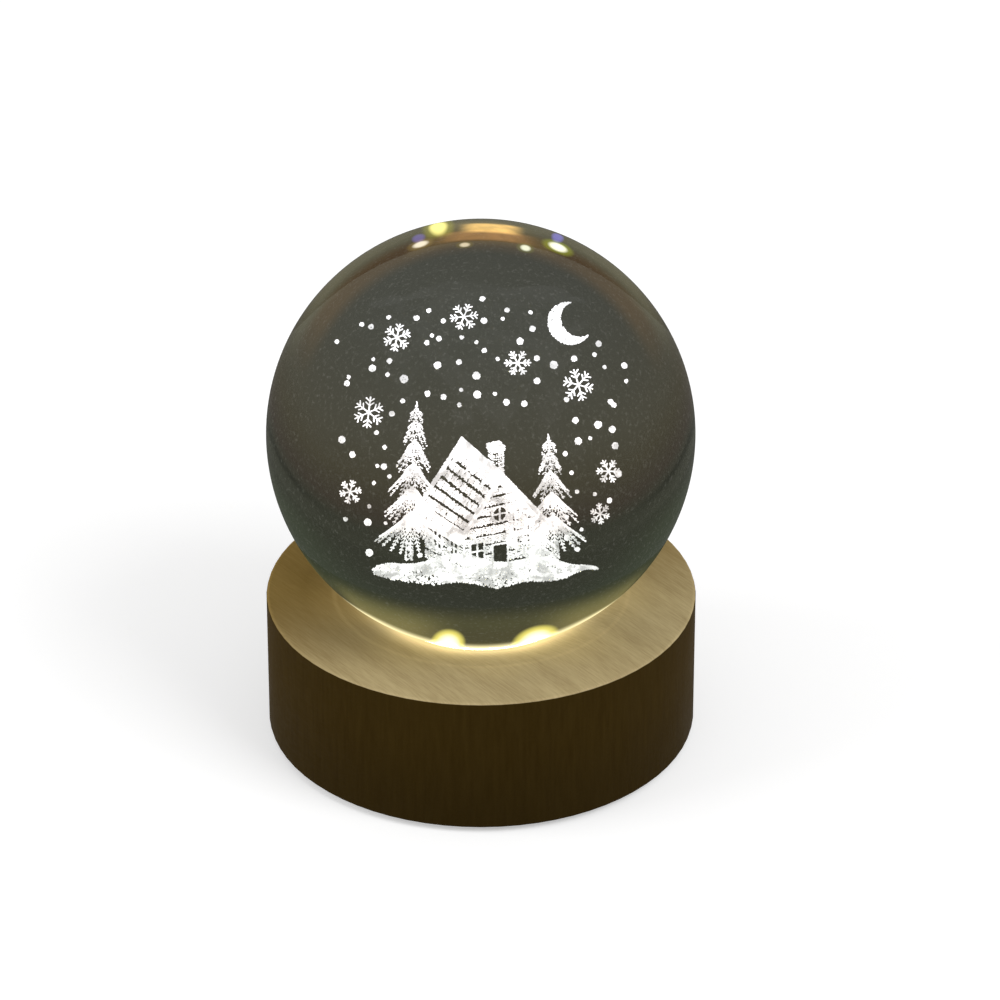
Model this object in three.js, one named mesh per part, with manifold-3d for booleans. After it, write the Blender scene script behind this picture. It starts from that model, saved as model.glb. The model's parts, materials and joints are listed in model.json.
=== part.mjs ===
// Crystal ball lamp: a glass ball with a scene engraved in it rests in a turned wooden base, with a
// ring of small LEDs under it. A port for a USB-C lead and a push button are at the back of the base.
// Millimetres, +Z up. The origin is on the table, under the middle of the base, and the front faces -Y.

import * as THREE from 'three';
import { mergeVertices } from 'three/addons/utils/BufferGeometryUtils.js';
import Module from 'manifold-3d';

const wasm = await Module();
wasm.setup();

// Glass ball
const BALL_RADIUS = 30;
const BALL_GAP = 0.3; // between the ball and the edge that it rests on
const BALL_SIDES = 48;

// Scene engraved in the glass: a cottage between firs on snowy ground. It is one hollow, with a
// narrow hole down to the bottom of the ball.
const GROUND_DROP = 12.6; // from the middle of the ball down to the cottage's doorstep
const GROUND_HALF_WIDTH = 9;
const GROUND_HALF_DEPTH = 3.9;
const GROUND_CROWN = 0.1; // from the doorstep down to the middle of the snow
const GROUND_SLOPE = 0.5; // from there down to its rim
const GROUND_RIM = 0.15;
const GROUND_UNDER = 0.9; // from the doorstep down to the underside of the snow
const FOOTING = 0.7; // of the cottage and the firs, in the snow
const COTTAGE_TURN_DEG = 28;
const COTTAGE_X = 0.2;
const COTTAGE_Y = 0.4;
const COTTAGE_WIDTH = 7.4;
const COTTAGE_DEPTH = 6.4;
const COTTAGE_WALL = 4.6;
const COTTAGE_RIDGE = 9.4;
const ROOF_THICKNESS = 0.45;
const ROOF_OVERHANG = 0.9;
const ROOF_DROP = 1; // of the eaves, below the top of the wall
const ROOF_LIFT = 0.15; // of its underside, above the ridge of the gable
const GABLE_OVERHANG = 0.7;
const CHIMNEY_WIDTH = 1;
const CHIMNEY_X = 2;
const CHIMNEY_Y = 1.4;
const CHIMNEY_FOOT = 6.2;
const CHIMNEY_TOP = 9.6;
const TRUNK_RADIUS = 0.35;
const BOUGH_HEIGHT = 1; // of the lowest boughs, above the doorstep
const BOUGH_TIP_SHARE = 0.92; // of a fir's radius, between the tips of its boughs and the gaps there
const SKIRT_START_SHARE = 0.3; // of a step in width, that the top skirt has more than one step
const SKIRT_LAP_SHARE = 0.07; // of a fir's boughs, that a skirt reaches up into the one above
const FIRS = [
  { x: -5.9, y: 1.4, height: 15.2, radius: 3.1, tiers: 6 },
  { x: 6, y: 2, height: 11.4, radius: 2.7, tiers: 5 },
  { x: 5.4, y: -2.4, height: 5.6, radius: 1.7, tiers: 4 },
];
const VENT_RADIUS = 0.5;

// Turned wooden base
const BASE_RADIUS = 30.5;
const BASE_HEIGHT = 20.5;
const BASE_EDGE = 0.5; // rounding of the outer edges
const BASE_SIDES = 72;
const SEAT_RADIUS = 14; // of the bore whose upper edge carries the ball
const DISH_WIDTH = 6.7; // of the shallow cone round the seat
const DISH_DEPTH = 1.5;
const RIM_WALL = 2.7; // wood outside the bottom cover
const COVER_LEDGE = 2.2; // width of the step in the wood that the bottom cover rests on
const POST_RADIUS = 2.4; // of the wood left round each cover screw

// Clear window between the ball and the LEDs
const WINDOW_THICKNESS = 1.4;
const WINDOW_OVERLAP = 2; // past the seat bore, all round
const WINDOW_DROP = 0.5; // below the ball's lowest point
const WINDOW_GAP = 0.3;

// Moulded housing of the LED board: a cup with an ear for each screw
const HOUSING_WALL = 1.3;
const HOUSING_FLOOR = 0.9;
const HOUSING_FLANGE = 1.4; // thickness of the ears
const SCREW_LAND = 4.6; // reach of the ears outside the cup
const EAR_RADIUS = 2.3;
const WIRE_HOLE_RADIUS = 2.2;

// LED board
const LED_BOARD_THICKNESS = 1.2;
const LED_BOARD_GAP = 0.3;
const LED_COUNT = 6;
const LED_START_DEG = 51;
const LED_INSET = 4; // from the board's edge to the ring of LEDs
const LED_LENGTH = 3.5;
const LED_WIDTH = 2.8;
const LED_HEIGHT = 0.8;
const LED_LENS_RADIUS = 1.1;
const LED_LENS_DEPTH = 0.15;
const LED_HEADROOM = 0.5;
const RESISTOR_LENGTH = 1.6;
const RESISTOR_WIDTH = 0.8;
const RESISTOR_HEIGHT = 0.5;
const LEDS_PER_RESISTOR = 2;

// Bottom cover and feet
const COVER_THICKNESS = 1.8;
const COVER_RECESS = 2; // depth of its seat in the wood
const COVER_GAP = 0.3;
const BOSS_RADIUS = 2.5;
const FOOT_RADIUS = 4;
const FOOT_THICKNESS = 1;
const FOOT_INSET = 2; // from the cover's edge
const FOOT_COUNT = 4;
const FOOT_EDGE = 0.2;

// Screws
const SCREW_COUNT = 3; // of the cover, and of the housing halfway between them
const COVER_SCREW_START_DEG = 30;
const SCREW_GAP = 0.15; // in a pilot hole
const SCREW_SLACK = 0.3; // in a hole that the screw passes freely
const SCREW_TIP = 0.8;
const SLOT_WIDTH = 0.5; // of the cross in each head
const SLOT_DEPTH = 0.5;
const SLOT_SPAN_SHARE = 0.62; // of the head's diameter
const HOUSING_SCREW_RADIUS = 1;
const HOUSING_SCREW_HEAD = 1.9;
const HOUSING_SCREW_HEAD_HEIGHT = 1.2;
const HOUSING_SCREW_LENGTH = 5;
const COVER_SCREW_RADIUS = 1.1;
const COVER_SCREW_HEAD = 2.2;
const COVER_SCREW_INSET = 0.7; // from a head to the cover's edge
const COVER_SCREW_LENGTH = 7;
const BOARD_SCREW_RADIUS = 0.9;
const BOARD_SCREW_HEAD = 1.7;
const BOARD_SCREW_HEAD_HEIGHT = 1.1;
const BOARD_SCREW_REST = 0.6; // left free at the bottom of the boss

// Control board
const BOARD_THICKNESS = 1.6;
const BOARD_HEADROOM = 2.6; // under the LED housing
const BOARD_GAP = 1.5; // to the wood round the cover screws
const BOARD_HALF_WIDTH = 15;
const BOARD_FRONT = 3; // its front edge, from the lamp's axis
const BOARD_SCREW_X = 12;
const BOARD_SCREW_Y = 6.5;
const BOARD_RESISTOR_X = 2.2;
const BOARD_RESISTOR_Y = 13;

// USB-C port
const PORT_DEG = 90;
const SHELL_WIDTH = 8.94;
const SHELL_HEIGHT = 3.26;
const SHELL_LENGTH = 7.35;
const SHELL_WALL = 0.3;
const SHELL_GAP = 0.3;
const SHELL_SETBACK = 0.1; // behind the floor of the bezel
const TONGUE_WIDTH = 6.6;
const TONGUE_HEIGHT = 0.7;
const TONGUE_LENGTH = 5.2;
const TONGUE_BLOCK = 1.2;
const TONGUE_GAP = 0.12;
const PORT_WALL = 4.5; // from the notch inside to the outside of the base
const PORT_RECESS = 2.6;
const NOTCH_MARGIN = 1.8;
const NOTCH_HEADROOM = 0.6;
const NOTCH_GAP = 0.5; // between the board and the notch
const LUG_MARGIN = 1.1; // of the board beside the shell
const PLUG_MARGIN = 1.9; // round the shell, for the moulding of the plug
const BEZEL_WALL = 0.8;
const BEZEL_FLOOR = 0.7;
const BEZEL_GAP = 0.2;
const BEZEL_SINK = 0.1;

// Push button and its switch
const BUTTON_DEG = 58;
const BUTTON_RADIUS = 3.1;
const BUTTON_EDGE = 0.5;
const BUTTON_STAND = 1.2; // in front of its bush, and its travel
const BUTTON_COLLAR_RADIUS = 3.8;
const BUTTON_COLLAR = 0.8;
const BUTTON_STEM_RADIUS = 1.1;
const BUTTON_STEM_LENGTH = 1.5;
const BUSH_GAP = 0.2;
const BUSH_WALL = 0.7;
const BUSH_LENGTH = 4.5;
const BUSH_FLANGE_RADIUS = 5;
const BUSH_FLANGE = 0.7;
const BUSH_FIT = 0.3; // in the wood
const COLLAR_GAP = 0.3;
const PRESS_GAP = 0.1;
const PLUNGER_WIDTH = 2.4;
const PLUNGER_HEIGHT = 1.2;
const PLUNGER_STAND = 1.6;
const PLUNGER_INSIDE = 1.6;
const PLUNGER_GAP = 0.2;
const SWITCH_WIDTH = 7;
const SWITCH_LENGTH = 4.8;
const SWITCH_HEIGHT = 2.5;

// Connector and wires to the LED board
const CONNECTOR_X = -6.5;
const CONNECTOR_Y = 8;
const CONNECTOR_WIDTH = 5;
const CONNECTOR_DEPTH = 3.6;
const CONNECTOR_HEIGHT = 2.3;
const CONNECTOR_CAVITY = 0.8;
const WIRE_RADIUS = 0.45;
const WIRE_PITCH = 2;
const WIRE_GAP = 0.3;
const WIRE_STEPS = 16;

// Facets and cuts
const ROUND_SIDES = 48;
const SMALL_SIDES = 24;
const TINY_SIDES = 12;
const ARC_STEPS = 3;
const SLOT_CURVE = 4; // each round end of a slot has twice as many sides
const WIRE_CURVE = 4; // a wire's section has twice as many sides
const OVERRUN = 1; // of a cut past the face that it goes through
const ON_AXIS = 1e-9; // a radius under this is on the axis

// Heights, from the table upwards
const coverUnder = FOOT_THICKNESS;
const coverTop = coverUnder + COVER_THICKNESS;
const woodBottom = coverTop - COVER_RECESS;
const woodTop = woodBottom + BASE_HEIGHT;
const seatEdge = woodTop - DISH_DEPTH;
const ballCentre = seatEdge + Math.sqrt((BALL_RADIUS + BALL_GAP) ** 2 - SEAT_RADIUS ** 2);
const doorstep = ballCentre - GROUND_DROP;
const windowTop = ballCentre - BALL_RADIUS - WINDOW_DROP;
const pocketTop = windowTop - WINDOW_THICKNESS;
const earUnder = pocketTop - HOUSING_FLANGE;
const ledBoardTop = pocketTop - LED_HEADROOM - LED_HEIGHT;
const ledBoardUnder = ledBoardTop - LED_BOARD_THICKNESS;
const cupUnder = ledBoardUnder - HOUSING_FLOOR;
const boardTop = cupUnder - BOARD_HEADROOM;
const boardUnder = boardTop - BOARD_THICKNESS;
const portHeight = boardTop + SHELL_HEIGHT / 2;

// Radii, from the seat outwards
const windowRadius = SEAT_RADIUS + WINDOW_OVERLAP;
const windowBore = windowRadius + WINDOW_GAP;
const ledBoardRadius = SEAT_RADIUS;
const ledRing = ledBoardRadius - LED_INSET;
const cupInner = ledBoardRadius + LED_BOARD_GAP;
const cupOuter = cupInner + HOUSING_WALL;
const housingScrewRing = cupOuter + SCREW_LAND - EAR_RADIUS;

// Radii, from the outside of the base inwards
const recessRadius = BASE_RADIUS - RIM_WALL;
const pocketRadius = recessRadius - COVER_LEDGE;
const coverRadius = recessRadius - COVER_GAP;
const coverScrewRing = coverRadius - COVER_SCREW_INSET - COVER_SCREW_HEAD;
const boardRadius = coverScrewRing - POST_RADIUS - BOARD_GAP;
const footRing = coverRadius - FOOT_INSET - FOOT_RADIUS;

// Distances from the lamp's axis, along the port and along the button
const notchReach = BASE_RADIUS - PORT_WALL;
const recessFloor = BASE_RADIUS - PORT_RECESS;
const shellFront = recessFloor + BEZEL_FLOOR - SHELL_SETBACK;
const shellBack = shellFront - SHELL_LENGTH;
const bushSeat = BASE_RADIUS - BUSH_FLANGE;
const bushInner = BUTTON_RADIUS + BUSH_GAP;
const bushOuter = bushInner + BUSH_WALL;
const bushBack = bushSeat - BUSH_LENGTH;
const collarFront = bushBack - COLLAR_GAP;
const collarBack = collarFront - BUTTON_COLLAR;
const stemEnd = collarBack - BUTTON_STEM_LENGTH;
const plungerEnd = stemEnd - PRESS_GAP;
const switchFront = plungerEnd - PLUNGER_STAND;

// Finishes
const finishes = {
  crystal: { color: 0x5b5c54, roughness: 0.02, metalness: 0, transparent: true, opacity: 0.55 },
  wood: { color: 0x5a4420, roughness: 0.55, metalness: 0 },
  acrylic: { color: 0xe8e4d6, roughness: 0.1, metalness: 0, transparent: true, opacity: 0.4 },
  white_plastic: { color: 0xe6e2d8, roughness: 0.6, metalness: 0 },
  black_plastic: { color: 0x17171a, roughness: 0.45, metalness: 0 },
  cover_plastic: { color: 0x1e1c1a, roughness: 0.7, metalness: 0 },
  board: { color: 0x1d5a36, roughness: 0.5, metalness: 0 },
  led: { color: 0xffdc8a, roughness: 0.35, metalness: 0 },
  steel: { color: 0xb9bcc0, roughness: 0.3, metalness: 1 },
  wire_red: { color: 0xb01c18, roughness: 0.5, metalness: 0 },
  wire_black: { color: 0x141416, roughness: 0.5, metalness: 0 },
  foot_rubber: { color: 0x2a2a2c, roughness: 0.9, metalness: 0 },
};

function mesh(name, geometry, finish) {
  const piece = new THREE.Mesh(geometry, new THREE.MeshStandardMaterial(finishes[finish]));
  piece.name = name;
  return piece;
}

// Turns a profile of [radius, height] points, listed anticlockwise, about the Z axis.
function turned(profile, sides) {
  const points = profile.map(([r, z]) => new THREE.Vector2(r < ON_AXIS ? 0 : r, z));
  return new THREE.LatheGeometry(points, sides).rotateX(Math.PI / 2);
}

// Points of an arc in a profile, from one angle to another in degrees.
function arc(r, z, radius, from, to, steps) {
  return Array.from({ length: steps + 1 }, (_, k) => {
    const angle = THREE.MathUtils.degToRad(from + ((to - from) * k) / steps);
    return [r + radius * Math.cos(angle), z + radius * Math.sin(angle)];
  });
}

// A round bar along Z, from one height to another.
function bar(radius, low, high, sides) {
  return turned([[0, low], [radius, low], [radius, high], [0, high]], sides);
}

// A block about the Z axis, from one height to another.
function block(sizeX, sizeY, low, high) {
  return new THREE.BoxGeometry(sizeX, sizeY, high - low).translate(0, 0, (low + high) / 2);
}

// A bar along Z with two round ends: sizeX is the short side, and sizeY the long one.
function slotBar(sizeX, sizeY, low, high) {
  const radius = sizeX / 2;
  const straight = sizeY / 2 - radius;
  const outline = new THREE.Shape();
  outline.absarc(0, straight, radius, 0, Math.PI);
  outline.absarc(0, -straight, radius, Math.PI, 2 * Math.PI);
  const settings = { depth: high - low, bevelEnabled: false, curveSegments: SLOT_CURVE };
  return new THREE.ExtrudeGeometry(outline, settings).translate(0, 0, low);
}

function toSolid(geometry) {
  const bare = geometry.clone();
  bare.deleteAttribute('normal');
  bare.deleteAttribute('uv');
  const merged = mergeVertices(bare);
  const index = merged.index.array;
  const triangles = [];
  for (let k = 0; k < index.length; k += 3) {
    const [a, b, c] = [index[k], index[k + 1], index[k + 2]];
    if (a !== b && b !== c && c !== a) triangles.push(a, b, c);
  }
  return new wasm.Manifold(new wasm.Mesh({
    numProp: 3,
    vertProperties: Float32Array.from(merged.attributes.position.array),
    triVerts: Uint32Array.from(triangles),
  }));
}

function toGeometry(solid) {
  const { vertProperties, triVerts } = solid.getMesh();
  const geometry = new THREE.BufferGeometry();
  geometry.setAttribute('position', new THREE.BufferAttribute(Float32Array.from(vertProperties), 3));
  geometry.setIndex(new THREE.BufferAttribute(Uint32Array.from(triVerts), 1));
  const faceted = geometry.toNonIndexed();
  faceted.computeVertexNormals();
  return faceted;
}

function cut(body, cutters) {
  return toGeometry(cutters.reduce((rest, cutter) => rest.subtract(toSolid(cutter)), toSolid(body)));
}

function join(body, others) {
  return toGeometry(others.reduce((rest, other) => rest.add(toSolid(other)), toSolid(body)));
}

function common(body, other) {
  return toGeometry(toSolid(body).intersect(toSolid(other)));
}

// The angles in degrees of evenly spaced copies round the lamp's axis.
function spread(count, start) {
  return Array.from({ length: count }, (_, k) => start + (360 / count) * k);
}

// Places a thing that is built about the Z axis at a radius and an angle round the lamp's axis.
function ringFrame(radius, degrees) {
  const turn = new THREE.Matrix4().makeRotationZ(THREE.MathUtils.degToRad(degrees));
  return turn.multiply(new THREE.Matrix4().makeTranslation(radius, 0, 0));
}

// Lays a thing that is built along Z so that it points outwards from the lamp's axis at a height.
function outwardFrame(degrees, height) {
  const lift = new THREE.Matrix4().makeTranslation(0, 0, height);
  const turn = new THREE.Matrix4().makeRotationZ(THREE.MathUtils.degToRad(degrees));
  return lift.multiply(turn).multiply(new THREE.Matrix4().makeRotationY(Math.PI / 2));
}

function placed(frame, ...things) {
  const group = new THREE.Group();
  group.applyMatrix4(frame);
  return group.add(...things);
}

const portFrame = outwardFrame(PORT_DEG, portHeight);
const buttonFrame = outwardFrame(BUTTON_DEG, portHeight);
const coverScrewAngles = spread(SCREW_COUNT, COVER_SCREW_START_DEG);
const housingScrewAngles = spread(SCREW_COUNT, COVER_SCREW_START_DEG + 180 / SCREW_COUNT);

function crystalBall() {
  const profile = arc(0, ballCentre, BALL_RADIUS, -90, 90, BALL_SIDES / 2);
  const hollow = [engravedGround(), ...engravedCottage(), ...FIRS.flatMap(engravedFir), vent()];
  return mesh('crystal_ball', cut(turned(profile, BALL_SIDES), hollow), 'crystal');
}

// A low heap of snow, oval in plan.
function engravedGround() {
  const profile = [
    [0, -GROUND_UNDER],
    [GROUND_HALF_WIDTH, -GROUND_CROWN - GROUND_SLOPE - GROUND_RIM],
    [GROUND_HALF_WIDTH, -GROUND_CROWN - GROUND_SLOPE],
    [0, -GROUND_CROWN],
  ];
  return turned(profile, ROUND_SIDES)
    .scale(1, GROUND_HALF_DEPTH / GROUND_HALF_WIDTH, 1)
    .translate(0, 0, doorstep);
}

// Walls with a gable at both ends, a roof that overhangs them, and a chimney at one side of the ridge.
function engravedCottage() {
  const side = COTTAGE_WIDTH / 2;
  const eave = side + ROOF_OVERHANG;
  const eaveUnder = COTTAGE_WALL - ROOF_DROP;
  const ridgeUnder = COTTAGE_RIDGE + ROOF_LIFT;
  const walls = [[-side, -FOOTING], [side, -FOOTING], [side, COTTAGE_WALL], [0, COTTAGE_RIDGE],
    [-side, COTTAGE_WALL]];
  const roof = [[-eave, eaveUnder], [0, ridgeUnder], [eave, eaveUnder], [eave, eaveUnder + ROOF_THICKNESS],
    [0, ridgeUnder + ROOF_THICKNESS], [-eave, eaveUnder + ROOF_THICKNESS]];
  const chimney = block(CHIMNEY_WIDTH, CHIMNEY_WIDTH, CHIMNEY_FOOT, CHIMNEY_TOP);
  const frame = new THREE.Matrix4().makeTranslation(COTTAGE_X, COTTAGE_Y, doorstep)
    .multiply(new THREE.Matrix4().makeRotationZ(THREE.MathUtils.degToRad(COTTAGE_TURN_DEG)));
  return [
    upright(walls, COTTAGE_DEPTH),
    upright(roof, COTTAGE_DEPTH + 2 * GABLE_OVERHANG),
    chimney.translate(CHIMNEY_X, CHIMNEY_Y, 0),
  ].map((piece) => piece.applyMatrix4(frame));
}

// Extrudes an outline of [x, z] points along Y, as far to the back as to the front.
function upright(outline, depth) {
  const shape = new THREE.Shape(outline.map(([x, z]) => new THREE.Vector2(x, z)));
  return new THREE.ExtrudeGeometry(shape, { depth, bevelEnabled: false })
    .rotateX(Math.PI / 2)
    .translate(0, depth / 2, 0);
}

// A trunk, and skirts of boughs that get wider from the top down.
function engravedFir({ x, y, height, radius, tiers }) {
  const reach = height - BOUGH_HEIGHT;
  const skirts = Array.from({ length: tiers }, (_, k) => {
    const low = height - (reach * (k + 1)) / tiers;
    const high = height - reach * Math.max(0, k / tiers - SKIRT_LAP_SHARE);
    const wide = (radius * BOUGH_TIP_SHARE * (k + 1 + SKIRT_START_SHARE)) / (tiers + SKIRT_START_SHARE);
    return turned([[0, low], [wide, low], [0, high]], TINY_SIDES);
  });
  return [bar(TRUNK_RADIUS, -FOOTING, height - reach / 2, TINY_SIDES), ...skirts]
    .map((piece) => piece.translate(x, y, doorstep));
}

// Opens the hollow at the bottom of the ball.
function vent() {
  const low = ballCentre - BALL_RADIUS - OVERRUN;
  return bar(VENT_RADIUS, low, doorstep - GROUND_CROWN - GROUND_SLOPE, TINY_SIDES);
}

function woodenBase() {
  const edge = BASE_RADIUS - BASE_EDGE;
  const profile = [
    [pocketRadius, coverTop],
    [recessRadius, coverTop],
    [recessRadius, woodBottom],
    ...arc(edge, woodBottom + BASE_EDGE, BASE_EDGE, -90, 0, ARC_STEPS),
    ...arc(edge, woodTop - BASE_EDGE, BASE_EDGE, 0, 90, ARC_STEPS),
    [SEAT_RADIUS + DISH_WIDTH, woodTop],
    [SEAT_RADIUS, seatEdge],
    [SEAT_RADIUS, windowTop],
    [windowBore, windowTop],
    [windowBore, pocketTop],
    [pocketRadius, pocketTop],
    [pocketRadius, coverTop],
  ];
  const geometry = cut(join(turned(profile, BASE_SIDES), coverPosts()), [
    ...housingPilots(),
    ...coverPilots(),
    ...portCuts(),
    ...buttonCuts(),
  ]);
  return mesh('wooden_base', geometry, 'wood');
}

// Wood left standing in the pocket, joined to its wall and its ceiling, for the cover screws.
function coverPosts() {
  return coverScrewAngles.map((degrees) =>
    bar(POST_RADIUS, coverTop, pocketTop + OVERRUN, SMALL_SIDES)
      .applyMatrix4(ringFrame(coverScrewRing, degrees)));
}

function housingPilots() {
  const depth = HOUSING_SCREW_LENGTH - HOUSING_FLANGE + SCREW_SLACK;
  const radius = HOUSING_SCREW_RADIUS + SCREW_GAP;
  return housingScrewAngles.map((degrees) =>
    bar(radius, pocketTop - OVERRUN, pocketTop + depth, TINY_SIDES)
      .applyMatrix4(ringFrame(housingScrewRing, degrees)));
}

function coverPilots() {
  const top = coverUnder + COVER_SCREW_LENGTH + SCREW_SLACK;
  const radius = COVER_SCREW_RADIUS + SCREW_GAP;
  return coverScrewAngles.map((degrees) =>
    bar(radius, coverTop - OVERRUN, top, TINY_SIDES)
      .applyMatrix4(ringFrame(coverScrewRing, degrees)));
}

// The recess for the bezel, the slot for the shell, and the notch inside for the end of the board.
function portCuts() {
  const around = 2 * (PLUG_MARGIN + BEZEL_WALL + BEZEL_GAP);
  const notchTop = boardTop + SHELL_HEIGHT + NOTCH_HEADROOM;
  const notchWidth = SHELL_WIDTH + 2 * NOTCH_MARGIN;
  return [
    slotBar(SHELL_HEIGHT + around, SHELL_WIDTH + around, recessFloor, BASE_RADIUS + OVERRUN)
      .applyMatrix4(portFrame),
    slotBar(SHELL_HEIGHT + 2 * SHELL_GAP, SHELL_WIDTH + 2 * SHELL_GAP, shellBack, shellFront + OVERRUN)
      .applyMatrix4(portFrame),
    block(notchWidth, notchReach, coverTop - OVERRUN, notchTop).translate(0, notchReach / 2, 0)
      .applyMatrix4(portTurn()),
  ];
}

// Turns a thing that is built towards +Y to the port's side.
function portTurn() {
  return new THREE.Matrix4().makeRotationZ(THREE.MathUtils.degToRad(PORT_DEG - 90));
}

function buttonCuts() {
  return [
    bar(bushOuter + BUSH_FIT, switchFront, bushSeat + OVERRUN, SMALL_SIDES).applyMatrix4(buttonFrame),
    bar(BUSH_FLANGE_RADIUS + BUSH_FIT, bushSeat, BASE_RADIUS + OVERRUN, SMALL_SIDES)
      .applyMatrix4(buttonFrame),
  ];
}

function lightWindow() {
  return mesh('light_window', bar(windowRadius, pocketTop, windowTop, ROUND_SIDES), 'acrylic');
}

function ledHousing() {
  const profile = [
    [0, cupUnder],
    [cupOuter, cupUnder],
    [cupOuter, pocketTop],
    [cupInner, pocketTop],
    [cupInner, ledBoardUnder],
    [0, ledBoardUnder],
  ];
  const hole = HOUSING_SCREW_RADIUS + SCREW_SLACK;
  const geometry = cut(join(turned(profile, ROUND_SIDES), housingEars()), [
    bar(WIRE_HOLE_RADIUS, cupUnder - OVERRUN, ledBoardUnder + OVERRUN, SMALL_SIDES),
    ...housingScrewAngles.map((degrees) =>
      bar(hole, earUnder - OVERRUN, pocketTop + OVERRUN, TINY_SIDES)
        .applyMatrix4(ringFrame(housingScrewRing, degrees))),
  ]);
  return mesh('led_housing', geometry, 'white_plastic');
}

// Each ear is a flat arm from the middle of the cup's wall, with a round end about its screw.
function housingEars() {
  const root = (cupInner + cupOuter) / 2;
  const length = housingScrewRing - root;
  return housingScrewAngles.flatMap((degrees) => [
    block(length, 2 * EAR_RADIUS, earUnder, pocketTop).translate(-length / 2, 0, 0),
    bar(EAR_RADIUS, earUnder, pocketTop, SMALL_SIDES),
  ].map((piece) => piece.applyMatrix4(ringFrame(housingScrewRing, degrees))));
}

function ledBoard() {
  return mesh('led_board', bar(ledBoardRadius, ledBoardUnder, ledBoardTop, ROUND_SIDES), 'white_plastic');
}

function leds() {
  const top = ledBoardTop + LED_HEIGHT;
  return spread(LED_COUNT, LED_START_DEG).map((degrees, k) => {
    const body = block(LED_LENGTH, LED_WIDTH, ledBoardTop, top);
    const lens = bar(LED_LENS_RADIUS, top - LED_LENS_DEPTH, top + OVERRUN, TINY_SIDES);
    return placed(ringFrame(ledRing, degrees), mesh(`led_${k + 1}`, cut(body, [lens]), 'led'));
  });
}

// Each resistor feeds a pair of LEDs, and lies between the two.
function ledResistors() {
  const start = LED_START_DEG + 180 / LED_COUNT;
  return spread(LED_COUNT / LEDS_PER_RESISTOR, start).map((degrees, k) => {
    const body = block(RESISTOR_LENGTH, RESISTOR_WIDTH, ledBoardTop, ledBoardTop + RESISTOR_HEIGHT);
    return placed(ringFrame(ledRing, degrees), mesh(`led_resistor_${k + 1}`, body, 'black_plastic'));
  });
}

// Two thin blocks that cut the cross in a head whose face is at a height.
function crossCutters(headRadius, low, high) {
  const span = 2 * headRadius * SLOT_SPAN_SHARE;
  return [block(span, SLOT_WIDTH, low, high), block(SLOT_WIDTH, span, low, high)];
}

// Points up from its head, which is under an ear of the housing.
function housingScrews() {
  const headFace = earUnder - HOUSING_SCREW_HEAD_HEIGHT;
  const tip = earUnder + HOUSING_SCREW_LENGTH;
  const profile = [
    [0, headFace],
    [HOUSING_SCREW_HEAD, headFace],
    [HOUSING_SCREW_HEAD, earUnder],
    [HOUSING_SCREW_RADIUS, earUnder],
    [HOUSING_SCREW_RADIUS, tip - SCREW_TIP],
    [0, tip],
  ];
  return housingScrewAngles.map((degrees, k) => {
    const cross = crossCutters(HOUSING_SCREW_HEAD, headFace - OVERRUN, headFace + SLOT_DEPTH);
    const geometry = cut(turned(profile, TINY_SIDES), cross);
    const frame = ringFrame(housingScrewRing, degrees);
    return placed(frame, mesh(`housing_screw_${k + 1}`, geometry, 'steel'));
  });
}

// The slope of a countersunk head is 45 degrees, so its height is the step between its radii.
function coverScrews() {
  const neck = coverUnder + COVER_SCREW_HEAD - COVER_SCREW_RADIUS;
  const tip = coverUnder + COVER_SCREW_LENGTH;
  const profile = [
    [0, coverUnder],
    [COVER_SCREW_HEAD, coverUnder],
    [COVER_SCREW_RADIUS, neck],
    [COVER_SCREW_RADIUS, tip - SCREW_TIP],
    [0, tip],
  ];
  return coverScrewAngles.map((degrees, k) => {
    const cross = crossCutters(COVER_SCREW_HEAD, coverUnder - OVERRUN, coverUnder + SLOT_DEPTH);
    const geometry = cut(turned(profile, TINY_SIDES), cross);
    return placed(ringFrame(coverScrewRing, degrees), mesh(`cover_screw_${k + 1}`, geometry, 'steel'));
  });
}

function boardScrewPlaces() {
  return [-1, 1].map((side) =>
    new THREE.Matrix4().makeTranslation(side * BOARD_SCREW_X, BOARD_SCREW_Y, 0));
}

function boardScrews() {
  const headFace = boardTop + BOARD_SCREW_HEAD_HEIGHT;
  const tip = coverTop + BOARD_SCREW_REST;
  const profile = [
    [0, tip],
    [BOARD_SCREW_RADIUS, tip],
    [BOARD_SCREW_RADIUS, boardTop],
    [BOARD_SCREW_HEAD, boardTop],
    [BOARD_SCREW_HEAD, headFace],
    [0, headFace],
  ];
  return boardScrewPlaces().map((frame, k) => {
    const cross = crossCutters(BOARD_SCREW_HEAD, headFace - SLOT_DEPTH, headFace + OVERRUN);
    const geometry = cut(turned(profile, TINY_SIDES), cross);
    return placed(frame, mesh(`board_screw_${k + 1}`, geometry, 'steel'));
  });
}

// A disc with two bosses that carry the control board.
function bottomCover() {
  const disc = bar(coverRadius, coverUnder, coverTop, ROUND_SIDES);
  const bosses = boardScrewPlaces().map((frame) =>
    bar(BOSS_RADIUS, coverUnder + COVER_THICKNESS / 2, boardUnder, SMALL_SIDES).applyMatrix4(frame));
  const geometry = cut(join(disc, bosses), [...countersinks(), ...bossPilots()]);
  return mesh('bottom_cover', geometry, 'cover_plastic');
}

function countersinks() {
  const wide = COVER_SCREW_HEAD + SCREW_SLACK;
  const narrow = COVER_SCREW_RADIUS + SCREW_SLACK;
  const profile = [
    [0, coverUnder - OVERRUN],
    [wide, coverUnder - OVERRUN],
    [wide, coverUnder],
    [narrow, coverUnder + wide - narrow],
    [narrow, coverTop + OVERRUN],
    [0, coverTop + OVERRUN],
  ];
  return coverScrewAngles.map((degrees) =>
    turned(profile, TINY_SIDES).applyMatrix4(ringFrame(coverScrewRing, degrees)));
}

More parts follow.
